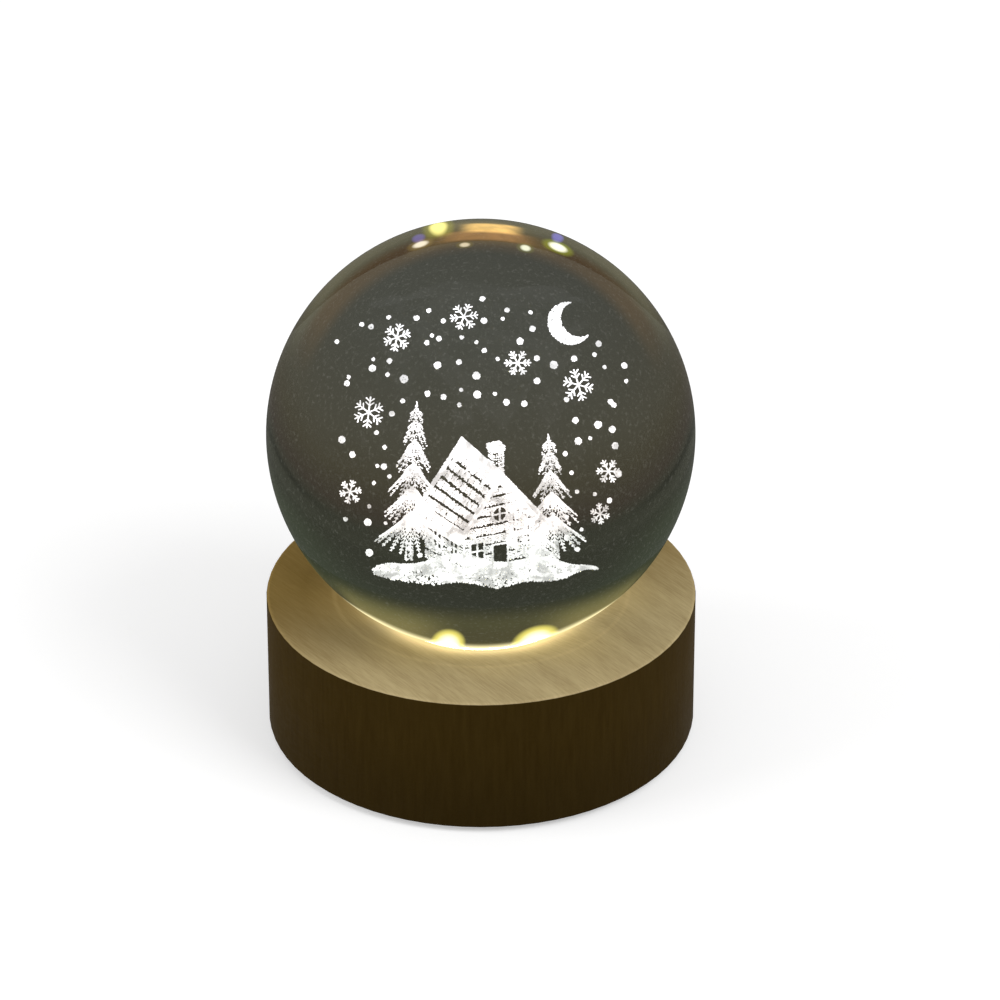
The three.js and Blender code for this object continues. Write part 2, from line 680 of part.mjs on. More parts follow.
function bossPilots() {
  const radius = BOARD_SCREW_RADIUS + SCREW_GAP;
  return boardScrewPlaces().map((frame) =>
    bar(radius, coverTop, boardUnder + OVERRUN, TINY_SIDES).applyMatrix4(frame));
}

function feet() {
  const edge = FOOT_RADIUS - FOOT_EDGE;
  const profile = [
    [0, 0],
    [edge, 0],
    [FOOT_RADIUS, FOOT_EDGE],
    [FOOT_RADIUS, FOOT_THICKNESS],
    [0, FOOT_THICKNESS],
  ];
  return spread(FOOT_COUNT, 180 / FOOT_COUNT).map((degrees, k) =>
    placed(ringFrame(footRing, degrees), mesh(`foot_${k + 1}`, turned(profile, SMALL_SIDES), 'foot_rubber')));
}

// A round board cut straight at its front and sides, with a lug that carries the port.
function controlBoard() {
  const length = boardRadius + OVERRUN - BOARD_FRONT;
  const window = block(2 * BOARD_HALF_WIDTH, length, boardUnder - OVERRUN, boardTop + OVERRUN)
    .translate(0, BOARD_FRONT + length / 2, 0);
  const main = common(bar(boardRadius, boardUnder, boardTop, ROUND_SIDES), window);
  const lugLength = notchReach - NOTCH_GAP - BOARD_FRONT;
  const lug = block(SHELL_WIDTH + 2 * LUG_MARGIN, lugLength, boardUnder, boardTop)
    .translate(0, BOARD_FRONT + lugLength / 2, 0);
  const holes = boardScrewPlaces().map((frame) =>
    bar(BOARD_SCREW_RADIUS + SCREW_SLACK, boardUnder - OVERRUN, boardTop + OVERRUN, TINY_SIDES)
      .applyMatrix4(frame));
  return mesh('control_board', cut(join(main, [lug]), holes), 'board');
}

function boardResistors() {
  return [-1, 1].map((side, k) => {
    const body = block(RESISTOR_LENGTH, RESISTOR_WIDTH, boardTop, boardTop + RESISTOR_HEIGHT)
      .translate(side * BOARD_RESISTOR_X, BOARD_RESISTOR_Y, 0);
    return mesh(`port_resistor_${k + 1}`, body, 'black_plastic');
  });
}

function usbShell() {
  const less = 2 * SHELL_WALL;
  const tube = slotBar(SHELL_HEIGHT, SHELL_WIDTH, shellBack, shellFront);
  const bore = slotBar(SHELL_HEIGHT - less, SHELL_WIDTH - less, shellBack - OVERRUN, shellFront + OVERRUN);
  return mesh('usb_shell', cut(tube, [bore]), 'steel');
}

// The contact tongue with the block that holds it in the shell.
function usbTongue() {
  const less = 2 * (SHELL_WALL + TONGUE_GAP);
  const blockFront = shellBack + TONGUE_BLOCK;
  const holder = slotBar(SHELL_HEIGHT - less, SHELL_WIDTH - less, shellBack, blockFront);
  const tongue = block(TONGUE_HEIGHT, TONGUE_WIDTH, shellBack + TONGUE_BLOCK / 2, blockFront + TONGUE_LENGTH);
  return mesh('usb_tongue', join(holder, [tongue]), 'black_plastic');
}

// A shallow black tray round the port, whose rim follows the outside of the base.
function usbBezel() {
  const inner = 2 * PLUG_MARGIN;
  const outer = inner + 2 * BEZEL_WALL;
  const holeMargin = 2 * SHELL_GAP;
  const tray = slotBar(SHELL_HEIGHT + outer, SHELL_WIDTH + outer, recessFloor, BASE_RADIUS + OVERRUN);
  const rim = bar(BASE_RADIUS - BEZEL_SINK, woodBottom, woodTop, BASE_SIDES);
  const geometry = cut(common(tray.applyMatrix4(portFrame), rim), [
    slotBar(SHELL_HEIGHT + inner, SHELL_WIDTH + inner, recessFloor + BEZEL_FLOOR, BASE_RADIUS + OVERRUN)
      .applyMatrix4(portFrame),
    slotBar(SHELL_HEIGHT + holeMargin, SHELL_WIDTH + holeMargin, recessFloor - OVERRUN, BASE_RADIUS)
      .applyMatrix4(portFrame),
  ]);
  return mesh('usb_bezel', geometry, 'black_plastic');
}

// The cap with the collar that keeps it in, and the stem that reaches the switch.
function powerButton() {
  const front = BASE_RADIUS + BUTTON_STAND;
  const profile = [
    [0, stemEnd],
    [BUTTON_STEM_RADIUS, stemEnd],
    [BUTTON_STEM_RADIUS, collarBack],
    [BUTTON_COLLAR_RADIUS, collarBack],
    [BUTTON_COLLAR_RADIUS, collarFront],
    [BUTTON_RADIUS, collarFront],
    ...arc(BUTTON_RADIUS - BUTTON_EDGE, front - BUTTON_EDGE, BUTTON_EDGE, 0, 90, ARC_STEPS),
    [0, front],
  ];
  return mesh('power_button', turned(profile, SMALL_SIDES), 'black_plastic');
}

function buttonBush() {
  const profile = [
    [bushInner, bushBack],
    [bushOuter, bushBack],
    [bushOuter, bushSeat],
    [BUSH_FLANGE_RADIUS, bushSeat],
    [BUSH_FLANGE_RADIUS, BASE_RADIUS],
    [bushInner, BASE_RADIUS],
    [bushInner, bushBack],
  ];
  return mesh('button_bush', turned(profile, SMALL_SIDES), 'steel');
}

// A low body on the board, open at its front for the plunger. X points down in this frame.
function switchBody() {
  const shift = portHeight - boardTop - SWITCH_HEIGHT / 2;
  const body = block(SWITCH_HEIGHT, SWITCH_WIDTH, switchFront - SWITCH_LENGTH, switchFront)
    .translate(shift, 0, 0);
  const depth = PLUNGER_INSIDE + BUTTON_STAND + PLUNGER_GAP;
  const opening = block(PLUNGER_HEIGHT + 2 * PLUNGER_GAP, PLUNGER_WIDTH + 2 * PLUNGER_GAP,
    switchFront - depth, switchFront + OVERRUN);
  return mesh('switch_body', cut(body, [opening]), 'black_plastic');
}

function switchPlunger() {
  const plunger = block(PLUNGER_HEIGHT, PLUNGER_WIDTH, switchFront - PLUNGER_INSIDE, plungerEnd);
  return mesh('switch_plunger', plunger, 'white_plastic');
}

function wireConnector() {
  const body = block(CONNECTOR_WIDTH, CONNECTOR_DEPTH, boardTop, boardTop + CONNECTOR_HEIGHT);
  const middle = boardTop + CONNECTOR_HEIGHT / 2;
  const size = 2 * (WIRE_RADIUS + WIRE_GAP);
  const cavities = [-1, 1].map((side) =>
    block(size, 2 * CONNECTOR_CAVITY, middle - size / 2, middle + size / 2)
      .translate((side * WIRE_PITCH) / 2, -CONNECTOR_DEPTH / 2, 0));
  const place = new THREE.Matrix4().makeTranslation(CONNECTOR_X, CONNECTOR_Y, 0);
  return placed(place, mesh('wire_connector', cut(body, cavities), 'white_plastic'));
}

// A wire from the connector up through the housing's floor to the underside of the LED board.
function wire(name, side, finish) {
  const startY = CONNECTOR_Y - CONNECTOR_DEPTH / 2 + CONNECTOR_CAVITY - WIRE_GAP;
  const startZ = boardTop + CONNECTOR_HEIGHT / 2;
  const offset = (side * WIRE_PITCH) / 2;
  const end = new THREE.Vector3(0, offset, ledBoardUnder - WIRE_GAP);
  const path = new THREE.CubicBezierCurve3(
    new THREE.Vector3(CONNECTOR_X + offset, startY, startZ),
    new THREE.Vector3(CONNECTOR_X + offset, startY - CONNECTOR_Y, startZ),
    new THREE.Vector3(0, offset, boardTop),
    end,
  );
  const section = new THREE.Shape().absarc(0, 0, WIRE_RADIUS, 0, 2 * Math.PI);
  const settings = { steps: WIRE_STEPS, curveSegments: WIRE_CURVE, extrudePath: path };
  return mesh(name, new THREE.ExtrudeGeometry(section, settings), finish);
}

const lamp = new THREE.Group();
lamp.name = 'crystal_ball_lamp';
lamp.add(
  crystalBall(),
  woodenBase(),
  lightWindow(),
  ledHousing(),
  ledBoard(),
  ...leds(),
  ...ledResistors(),
  ...housingScrews(),
  bottomCover(),
  ...coverScrews(),
  ...feet(),
  controlBoard(),
  ...boardScrews(),
  ...boardResistors(),
  placed(portFrame, usbShell(), usbTongue()),
  usbBezel(),
  placed(buttonFrame, powerButton(), buttonBush(), switchBody(), switchPlunger()),
  wireConnector(),
  wire('wire_red', 1, 'wire_red'),
  wire('wire_black', -1, 'wire_black'),
);

export default lamp;
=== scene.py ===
import json
import math
import random

import bmesh
import bpy
from mathutils import Matrix, Vector

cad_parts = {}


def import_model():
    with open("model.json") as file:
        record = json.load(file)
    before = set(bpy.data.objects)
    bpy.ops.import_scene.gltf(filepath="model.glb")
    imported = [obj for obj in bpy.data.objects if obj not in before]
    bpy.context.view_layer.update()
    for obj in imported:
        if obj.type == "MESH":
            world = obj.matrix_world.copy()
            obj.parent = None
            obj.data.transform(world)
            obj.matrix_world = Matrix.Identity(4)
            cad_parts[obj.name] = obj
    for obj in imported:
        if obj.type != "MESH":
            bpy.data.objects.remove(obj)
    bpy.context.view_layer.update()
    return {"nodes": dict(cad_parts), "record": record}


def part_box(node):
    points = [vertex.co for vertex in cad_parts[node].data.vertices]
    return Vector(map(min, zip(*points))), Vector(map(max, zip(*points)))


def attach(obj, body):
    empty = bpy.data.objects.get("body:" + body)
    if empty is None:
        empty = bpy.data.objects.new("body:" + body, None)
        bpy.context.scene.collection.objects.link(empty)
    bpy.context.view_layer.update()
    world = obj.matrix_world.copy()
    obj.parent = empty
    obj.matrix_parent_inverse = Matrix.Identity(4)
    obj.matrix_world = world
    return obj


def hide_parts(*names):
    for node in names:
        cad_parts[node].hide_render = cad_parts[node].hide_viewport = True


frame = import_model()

# Crystal ball lamp: looks of the engraved glass ball, the turned wooden base and its fittings.
# Metres, +Z up. The origin is on the table under the middle of the base, and the front faces -Y.

MM = 0.001

# Places that follow the frame
BALL_LOW, BALL_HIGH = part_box("crystal_ball")
BALL_RADIUS = (BALL_HIGH.z - BALL_LOW.z) / 2
BALL_CENTRE = Vector((0, 0, (BALL_HIGH.z + BALL_LOW.z) / 2))
WOOD_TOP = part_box("wooden_base")[1].z
BOARD_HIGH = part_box("led_board")[1]
LIT_RADIUS = BOARD_HIGH.x + 0.35 * MM  # the inside of the light well, where the LED light is painted on
LIT_HEIGHT = BOARD_HIGH.z - 0.05 * MM  # what is lower in the well gets no painted light
JOINTS = {joint["name"]: joint for joint in frame["record"]["behaviour"]["joints"]}
BUTTON_WAY = -Vector(JOINTS["button_press"]["axis"]).normalized()  # outwards

# Camera
CAMERA_ANGLE = math.radians(31.22)
CAMERA_DISTANCE = 762.5 * MM
CAMERA_LENS = 193.2
CAMERA_CLIP = 10 * MM
AIM_RIGHT = 2.71 * MM
AIM_UP = 12.63 * MM
TOWARD = Vector((0, -math.cos(CAMERA_ANGLE), math.sin(CAMERA_ANGLE)))
RIGHT = Vector((1, 0, 0))
UPWARD = TOWARD.cross(RIGHT)
CAMERA_AXIS = Vector((0, 0, WOOD_TOP))
CAMERA_PLACE = CAMERA_AXIS + CAMERA_DISTANCE * TOWARD

# Studio
WORLD_LEVEL = 0.55
FLOOR_SIZE = 4.0
FLOOR_COLOUR = (0.72, 0.72, 0.72, 1)
FLOOR_LIFT = 0.42
FLOOR_FAR_LIFT = 0.65
FLOOR_FADE = (0.15, 0.7)  # distances over which the one becomes the other
LAMPS = [  # name, place, size, power
    ("key", (0.65, -0.5, 0.85), 0.6, 6),
    ("fill", (-0.9, -0.2, 0.4), 0.6, 4),
]
LAMP_AIM = (0, 0, 0.03)
BOUNCES = 24
GLOSSY_BOUNCES = 12
CLEAR_BOUNCES = 32

# Glass
GLASS_IOR = 1.52
OUTER_GLOSS = 0.06  # share of the full reflection that the outside of the ball has
INNER_GLOSS = 0.12  # and the inside
# The dark tint is painted shade: a darker room seen through the clear ball, darker towards the bottom.
GLASS_TINTS = [  # what passes the whole ball, by height from the bottom, 0, to the top, 1
    (0.20, (0.030, 0.031, 0.023)),
    (0.49, (0.032, 0.034, 0.025)),
    (0.535, (0.041, 0.037, 0.027)),
    (0.72, (0.058, 0.056, 0.044)),
    (0.92, (0.068, 0.070, 0.058)),
]
PAINTED_GLASS_GLOWS = [  # painted glow on the front of the ball, by the same height
    (0.20, (0.002, 0.004, 0.001)),
    (0.49, (0.003, 0.003, 0.000)),
    (0.54, (0.008, 0.002, 0.000)),
    (0.62, (0.017, 0.012, 0.003)),
    (0.70, (0.023, 0.020, 0.012)),
    (0.92, (0.018, 0.018, 0.016)),
]
CURVE_RIM = (0.33, 0.75)  # where the bands of the shade tint and of the painted glow bend up
CURVE_RISE = 0.07
SHADE_LINE_HEIGHT = 0.487  # of a thin painted shade line near the outline, by the same height
SHADE_LINE_FADE = (0.018, 0.003)
SHADE_LINE_RIM = (0.32, 0.6)
SHADE_LINE_DEPTH = 0.6
OUTLINE_RIM = (0.86, 1.0)
OUTLINE_SHARE = 0.35  # of the tint that is left at the outline, as a painted dark outline
# dust specks on the glass, drawn as faint painted light on its front
DUST_COLOUR = (0.05, 0.05, 0.045)
DUST_SCALE = 1.9
DUST_FADE = (0.52, 0.8)

# Painted light of the LEDs in the glass, as painted_glass_light takes it
PAIR_ANGLE = math.radians(-85.7)  # of the first of the three pairs of LEDs
PAIR_STEP = math.radians(120)
GAP_FADE = (math.radians(58), math.radians(47))  # angles from a pair
GAP_LIGHT = 0.25  # what is left between two pairs
SEAT_GLOWS = [  # painted glows over the seat: colour, and the fade of each measure that limits the glow
    ((0.042, 0.034, 0.010), ("height", -0.36, -0.52)),
    ((0.13, 0.11, 0.036), ("aside", 0.12, 0.42), ("height", -0.40, -0.62)),
    ((0.09, 0.07, 0.013), ("height", -0.68, -0.86)),
]
RIM_GLOWS = [  # painted glows nearer to the outline, in the same form
    ((0.95, 0.84, 0.48), ("rim", 0.78, 0.93), ("height", -0.60, -0.68)),
    ((0.06, 0.045, 0.016), ("height", 0.93, 0.96), ("rim", 0.50, 0.60), ("rim", 0.92, 0.8),
     ("midway", 0.34, 0.12)),
    ((0.085, 0.080, 0.045), ("height", 0.40, 0.75), ("rim", 0.60, 0.78), ("rim", 0.98, 0.9)),
    ((0.040, 0.018, 0.002), ("height", 0.45, 0.75), ("rim", 0.44, 0.56), ("rim", 0.74, 0.62)),
    ((0.006, 0.012, 0.004), ("height", 0.02, -0.2), ("height", -0.62, -0.5), ("rim", 0.35, 0.75)),
]
SPOT_FOOT = -0.86  # height of the painted bright spots over the seat
SPOT_RISE = 0.27
SPOT_ASIDE = 0.202  # from the middle of a pair
SPOT_HALVES = (0.070, 0.100)  # half widths of the left and the right one of a pair
SPOT_RIM = (0.42, 0.58)
SPOT_LAYERS = [  # colour, fade by shares of the size of a spot
    ((0.80, 0.70, 0.14), (1.5, 0.65)),
    ((0.6, 0.65, 0.80), (0.8, 0.1)),
]
HIGHLIGHTS = [  # painted highlights: right and up in the outline seen from the front, half width and height, colour, halo
    (-0.279, 0.881, 0.042, 0.014, (0.80, 0.75, 0.62), (0.10, 0.07, 0.02)),
    (0.361, 0.867, 0.050, 0.019, (1.10, 1.08, 0.95), (0.14, 0.17, 0.00)),
    (-0.073, 0.878, 0.027, 0.011, (0.60, 0.52, 0.38), (0.05, 0.04, 0.00)),
    (0.210, 0.863, 0.027, 0.015, (0.80, 0.83, 0.66), (0.05, 0.06, 0.01)),
    (-0.288, 0.910, 0.035, 0.021, (0.08, 0.06, 0.25), (0, 0, 0)),
    (0.360, 0.913, 0.032, 0.023, (0.10, 0.09, 0.42), (0, 0, 0)),
    (-0.197, 0.963, 0.048, 0.032, (0.95, 0.85, 0.28), (0.13, 0.13, 0.00)),
]
CORE_FADE = (1.2, 0.15)  # by the squared distance from the middle of a highlight
HALO_FADE = (3.2, 0.8)
OUTER_SHARE = 0.9  # what lies farther out in the outline is there again at the back
BARS = [  # painted bars of light: right and up, half width and height, colour
    (0.052, 0.958, 0.125, 0.020, (0.95, 0.57, 0.16)),
    (0.027, 0.923, 0.195, 0.022, (0.24, 0.115, 0.04)),
]
BAR_FADES = ((1.3, 0.5), (1.25, 0.6))  # across and up, by shares of the half sizes
BAR_RIM = (0.86, 0.79)
STREAK_STRETCH = (7, 7, 60)

# Wood, in millimetres
GRAIN_TURN = math.radians(54)
FINE_GRAIN = (0.18, 2.6, 1.0)  # repeats along the grain, across it and in depth
BROAD_GRAIN = (0.03, 0.3, 0.1)
FINE_SHARE = 0.6
SIDE_GRAIN = (1.0, 1.0, 0.1)
PALE_WOOD = [(0.37, (0.37, 0.286, 0.144)), (0.5, (0.445, 0.353, 0.185)), (0.63, (0.51, 0.41, 0.222))]
# painted shade: the top darker and more golden at the back on the left
SHADED_TOP_WOOD = [(0.3, (0.215, 0.138, 0.038)), (0.7, (0.29, 0.195, 0.060))]
# dark brown of the side with its grain: painted shade
SIDE_SHADE_WOOD = [(0.3, (0.0190, 0.0105, 0.0014)), (0.7, (0.0255, 0.0150, 0.0026))]
TOP_SHADE_SLOPE = 0.45  # of the edge of the painted shade on the top, seen from above
TOP_SHADE_FADE = (-20, 14)
SIDE_SHADE_HEIGHTS = (2, 16)  # between which the painted shade on the side gets lighter
SIDE_SHADE_LEVELS = (0.85, 1.15)
PALE_HEIGHT = 18  # faces that look up are pale from this height on, or within this radius
PALE_RADIUS = 24
# painted pool of LED light on the wood round the seat
SEAT_LIGHT_FADE = (25, 15)  # radii
SEAT_LIGHT_FAR = 0.15  # of the painted soft light round the seat
SEAT_LIGHT = 0.75
SEAT_LIGHT_COLOUR = (1.0, 0.78, 0.36)
LIGHT_RING = 20.9  # radius of a faint painted ring of light
LIGHT_RING_FADE = (0.5, 0.1)
LIGHT_RING_LEVEL = 0.035

# Levels of light and of haze, from the least to the most
# painted glow of the engraved marks
ENGRAVING_LIGHT = (3.4, 8.0)
# painted LED light on the white plastic of the well
WELL_LIGHT = (7, 12)
LED_LIGHT = (50, 80)
WINDOW_HAZE = (0.16, 0.28)

# Fittings
SHARP_ANGLE = math.radians(35)  # between faces, where an edge stays sharp
MERGE_REACH = 0.002 * MM
RING_POINTS = 96
BALL_FACES = (256, 128)  # round it and from pole to pole
BEZEL_WALL = 0.8 * MM
BEZEL_FLOOR = 0.7 * MM
BEZEL_EDGE = 0.18 * MM
BEZEL_FOOT = 0.3 * MM
BEZEL_GAP = 0.3 * MM  # round the port
CAP_RADIUS = 3.1 * MM
CAP_ROLL = 0.55 * MM
CAP_DISH = 0.22 * MM
STEM_RADIUS = 1.1 * MM
COLLAR_PLACES = (1.5 * MM, 2.3 * MM)  # from the end of the stem
BUSH_BORE = CAP_RADIUS + 0.2 * MM
BUSH_SLEEVE = CAP_RADIUS + 0.9 * MM
BUSH_FLANGE = 0.7 * MM
BUSH_BEVEL = 0.16 * MM
GROOVE_INSET = 0.55 * MM
GROOVE_HALF = 0.06 * MM
GROOVE_DEPTH = 0.05 * MM

# Marks in the glass, in millimetres from the middle of the ball
MARK_SPREAD = (0.42, 0.62)  # shares of the size of the marks of a piece
JITTER = (0.2, 0.8)  # shares of the step between the marks of a patch
LINE_COPIES = 2
LINE_STEP = 0.09
LINE_SPREAD = 0.04
GROUND = -12.6
COTTAGE_SIZE = (7.4, 6.4, 4.6, 9.4)  # width, depth, height of the walls, height of the ridge
COTTAGE_PLACE = (0.2, 0.4)
COTTAGE_TURN = math.radians(28)
DOOR_SIZE = (0.75, 2.7)  # half width, height
PANE_MIDDLE = 2.35  # height of the windows
PANE_HALF = 0.85
FRONT_PANES = (-2.3, 2.3)  # from the middle of the wall
FRONT_PANE_HALF = 0.72
SIDE_PANES = (1.8, 4.6)  # from the front of the wall
SIDE_PANE_HALF = 0.7
ROUND_WINDOW = (5.6, 0.75)  # height, radius
PLANK = 0.92
PLANK_GAP = 0.17
EAVES = 0.9
EAVES_DROP = 1.0
VERGE = 0.7  # how far the roof stands out at both gables
ROOF_STEP = 0.15
SHINGLE_ROWS = 8
SHINGLE_COLUMNS = 9
SHINGLE_GAPS = (0.27, 0.13)  # shares of a row and of a shingle
CHIMNEY_SIDES = [(1.5, 0.9, (1, 0, 0)), (2.5, 0.9, (0, 1, 0)), (1.5, 0.9, (0, 1, 0))]  # corner, way
CHIMNEY_FOOT = 6.2
CHIMNEY_HEIGHT = 3.4
CHIMNEY_COURSES = 7
CHIMNEY_CAPS = (9.6, 9.78, 9.96)
CHIMNEY_CAP = (1.35, 0.75, 1.3)  # corner and size
FIRS = [  # x, y, height, radius, tiers
    (-5.9, 1.4, 15.2, 3.1, 6),
    (6.0, 2.0, 11.4, 2.7, 5),
    (5.4, -2.4, 5.6, 1.7, 4),
]
TRUNK_SIZE = (0.3, 1.6)  # radius, height
TRUNK_MARKS = 120
FIR_TIP = 1.2
FIR_FOOT = 1.0
MOUND_SIZE = (9.0, 3.9)
MOUND_MARKS = 7000
DRIFTS = 26
DRIFT_MARKS = 24
DRIFT_RIGHTS = (-8.4, 8.4)
DRIFT_DEPTHS = (-3.2, -1.2)
FLAKES = [  # right, up, towards the front, size
    (-11.0, 2.0, 3.0, 3.0),
    (-7.4, 8.6, -3.0, 2.5),
    (-1.6, 11.2, 2.0, 2.7),
    (9.4, 4.6, 2.0, 3.1),
    (11.6, -3.4, -2.0, 2.2),
    (-12.2, -5.4, -1.0, 2.4),
    (3.2, 6.2, -4.0, 2.2),
    (12.0, -8.2, 3.0, 2.2),
]
FLAKE_STEP = 0.1
BRANCH_SHARES = (0.45, 0.72)  # of an arm, where branches leave it
BRANCH_TURN = math.radians(52)
MOON = (8.4, 10.4, 0.0)
MOON_RADIUS = 2.1
MOON_BITE = (0.42, 0.2, 0.84)  # right, up and radius, in shares of the moon's
MOON_MARKS = 1500
MOON_ROOM = 3.4  # round its middle, with few snow grains
SNOW_COUNT = 90
SNOW_RIGHTS = (-13.2, 13.6)
SNOW_UPS = (-13.5, 12.6)
SNOW_DEPTHS = (-5, 6)
SNOW_REACH = 15.2
SNOW_SPACING = 1.3
SNOW_MARKS = 130  # in a grain of this radius
SNOW_RADIUS = 0.3


def add(tree, kind, inputs=None, **properties):
    """A shader node with these properties, and inputs that are values or linked sockets."""
    node = tree.nodes.new("ShaderNode" + kind)
    for name, value in properties.items():
        setattr(node, name, value)
    for name, value in (inputs or {}).items():
        if isinstance(value, bpy.types.NodeSocket):
            tree.links.new(value, node.inputs[name])
        else:
            node.inputs[name].default_value = value
    return node


def rgba(colour):
    return (*colour, 1.0)


def material(name, **values):
    """A material with one Principled shader; its socket names are written with underscores."""
    made = bpy.data.materials.new(name)
    made.use_nodes = True
    tree = made.node_tree
    shader = tree.nodes["Principled BSDF"]
    for socket, value in values.items():
        shader.inputs[socket.replace("_", " ")].default_value = value
    return made, tree, shader


def calc(tree, operation, a, b=0.0):
    return add(tree, "Math", {0: a, 1: b}, operation=operation).outputs[0]


def vector_calc(tree, operation, a, b=(0, 0, 0), output="Vector"):
    return add(tree, "VectorMath", {0: a, 1: b}, operation=operation).outputs[output]


def scaled(tree, vector, factor):
    return add(tree, "VectorMath", {0: vector, "Scale": factor}, operation="SCALE").outputs["Vector"]


def ramp(tree, factor, stops):
    """A colour ramp through (place, colour) stops."""
    node = add(tree, "ValToRGB", {"Fac": factor})
    elements = node.color_ramp.elements
    while len(elements) < len(stops):
        elements.new(0.5)
    for element, (place, colour) in zip(elements, stops):
        element.position = place
        element.color = rgba(colour)
    return node.outputs["Color"]


def between(tree, value, low, high, to_low=0.0, to_high=1.0, smooth=True):
    """Maps a value from one range to another, held at the ends."""
    inputs = {"Value": value, "From Min": low, "From Max": high, "To Min": to_low, "To Max": to_high}
    kind = "SMOOTHSTEP" if smooth else "LINEAR"
    return add(tree, "MapRange", inputs, interpolation_type=kind).outputs["Result"]


def mix_colour(tree, factor, a, b):
    node = add(tree, "Mix", data_type="RGBA")
    for socket, value in ((node.inputs["Factor"], factor), (node.inputs[6], a), (node.inputs[7], b)):
        if isinstance(value, bpy.types.NodeSocket):
            tree.links.new(value, socket)
        else:
            socket.default_value = value if isinstance(value, (int, float)) else rgba(value)
    return node.outputs[2]


def object_point(tree, scale=(1, 1, 1), turn=0.0):
    """The point on the piece in millimetres, turned about Z and then scaled."""
    source = add(tree, "TexCoord").outputs["Object"]
    turned = add(tree, "Mapping", {"Vector": source, "Rotation": (0, 0, turn), "Scale": (1 / MM,) * 3})
    return add(tree, "Mapping", {"Vector": turned.outputs[0], "Scale": scale}).outputs[0]


def noise(tree, vector, scale, detail, roughness):
    inputs = {"Vector": vector, "Scale": scale, "Detail": detail, "Roughness": roughness}
    return add(tree, "TexNoise", inputs).outputs["Fac"]


def bump(tree, shader, height, distance):
    node = add(tree, "Bump", {"Height": height, "Distance": distance, "Strength": 1})
    tree.links.new(node.outputs["Normal"], shader.inputs["Normal"])


def only_shown(made):
    """An emission that is seen but isn't sampled as a lamp."""
    made.cycles.emission_sampling = "NONE"
    return made


def shine(tree, shader, strength, colour):
    """Lets a surface give light of this colour."""
    tree.links.new(strength, shader.inputs["Emission Strength"])
    shader.inputs["Emission Color"].default_value = rgba(colour)


def polar(tree):
    """Unit direction from the middle of the ball, its height, and its angle round the axis."""
    source = add(tree, "TexCoord").outputs["Object"]
    offset = vector_calc(tree, "SUBTRACT", source, tuple(BALL_CENTRE))
    direction = vector_calc(tree, "NORMALIZE", offset)
    parts = add(tree, "SeparateXYZ", {0: direction}).outputs
    return direction, parts["Z"], calc(tree, "ARCTAN2", parts["Y"], parts["X"])


def from_axis(tree, vector):
    """Distance of a point from the upright axis."""
    flat = vector_calc(tree, "MULTIPLY", vector, (1, 1, 0))
    return vector_calc(tree, "LENGTH", flat, output="Value")


def product(tree, *values):
    total = values[0]
    for value in values[1:]:
        total = calc(tree, "MULTIPLY", total, value)
    return total


def oval(tree, direction, right, up, half_wide, half_high):
    """How far off a place seen from the front, across and up, in shares of these half sizes."""
    sight = CAMERA_PLACE - BALL_CENTRE
    toward = sight.normalized()
    upward = toward.cross(RIGHT)
    share = math.hypot(right, up)
    slope = math.asin(BALL_RADIUS / sight.length)
    lean = math.atan(share * math.tan(slope))
    tilt = math.asin(math.sin(lean) * sight.length / BALL_RADIUS)
    out = (RIGHT * right + upward * up) / share
    away = out * math.cos(tilt - lean) - toward * math.sin(tilt - lean)
    across = Vector(toward * math.cos(tilt - lean) + out * math.sin(tilt - lean)).cross(away)
    wide = vector_calc(tree, "DOT_PRODUCT", direction, tuple(across / half_wide), "Value")
    high = vector_calc(tree, "DOT_PRODUCT", direction, tuple(away * math.cos(tilt) / half_high), "Value")
    return wide, high


def slant(share):
    """The rim value of a sphere seen from far away, at this share of its outline."""
    return 1 - math.sqrt(1 - share ** 2)


def where_slanted(tree, rim, right, up, half_high):
    """0 where the glass is seen less aslant than at this place in the front view."""
    share = math.hypot(right, up)
    return between(tree, rim, slant(share - 2 * half_high), slant(share - half_high))


def limited(tree, measures, limits):
    """The product of the fades of these measures."""
    return product(tree, *[between(tree, measures[name], *fade) for name, *fade in limits])


def seat_spots(tree, measures, angle):
    """Two painted bright spots in the glass over each pair of LEDs."""
    along = calc(tree, "DIVIDE", calc(tree, "SUBTRACT", measures["height"], SPOT_FOOT), SPOT_RISE)
    along = calc(tree, "MAXIMUM", along, 0)
    pairs = math.tau / PAIR_STEP
    turned = product(tree, calc(tree, "SUBTRACT", angle, PAIR_ANGLE), pairs)
    half = between(tree, calc(tree, "SINE", turned), -0.2, 0.2, *SPOT_HALVES)
    across = calc(tree, "DIVIDE", calc(tree, "SUBTRACT", measures["aside"], SPOT_ASIDE), half)
    reach = calc(tree, "ADD", calc(tree, "POWER", along, 4), product(tree, across, across))
    close = between(tree, measures["rim"], *SPOT_RIM)
    spots = []
    for colour, fade in SPOT_LAYERS:
        spots.append(scaled(tree, colour, product(tree, between(tree, reach, *fade), close)))
    return spots


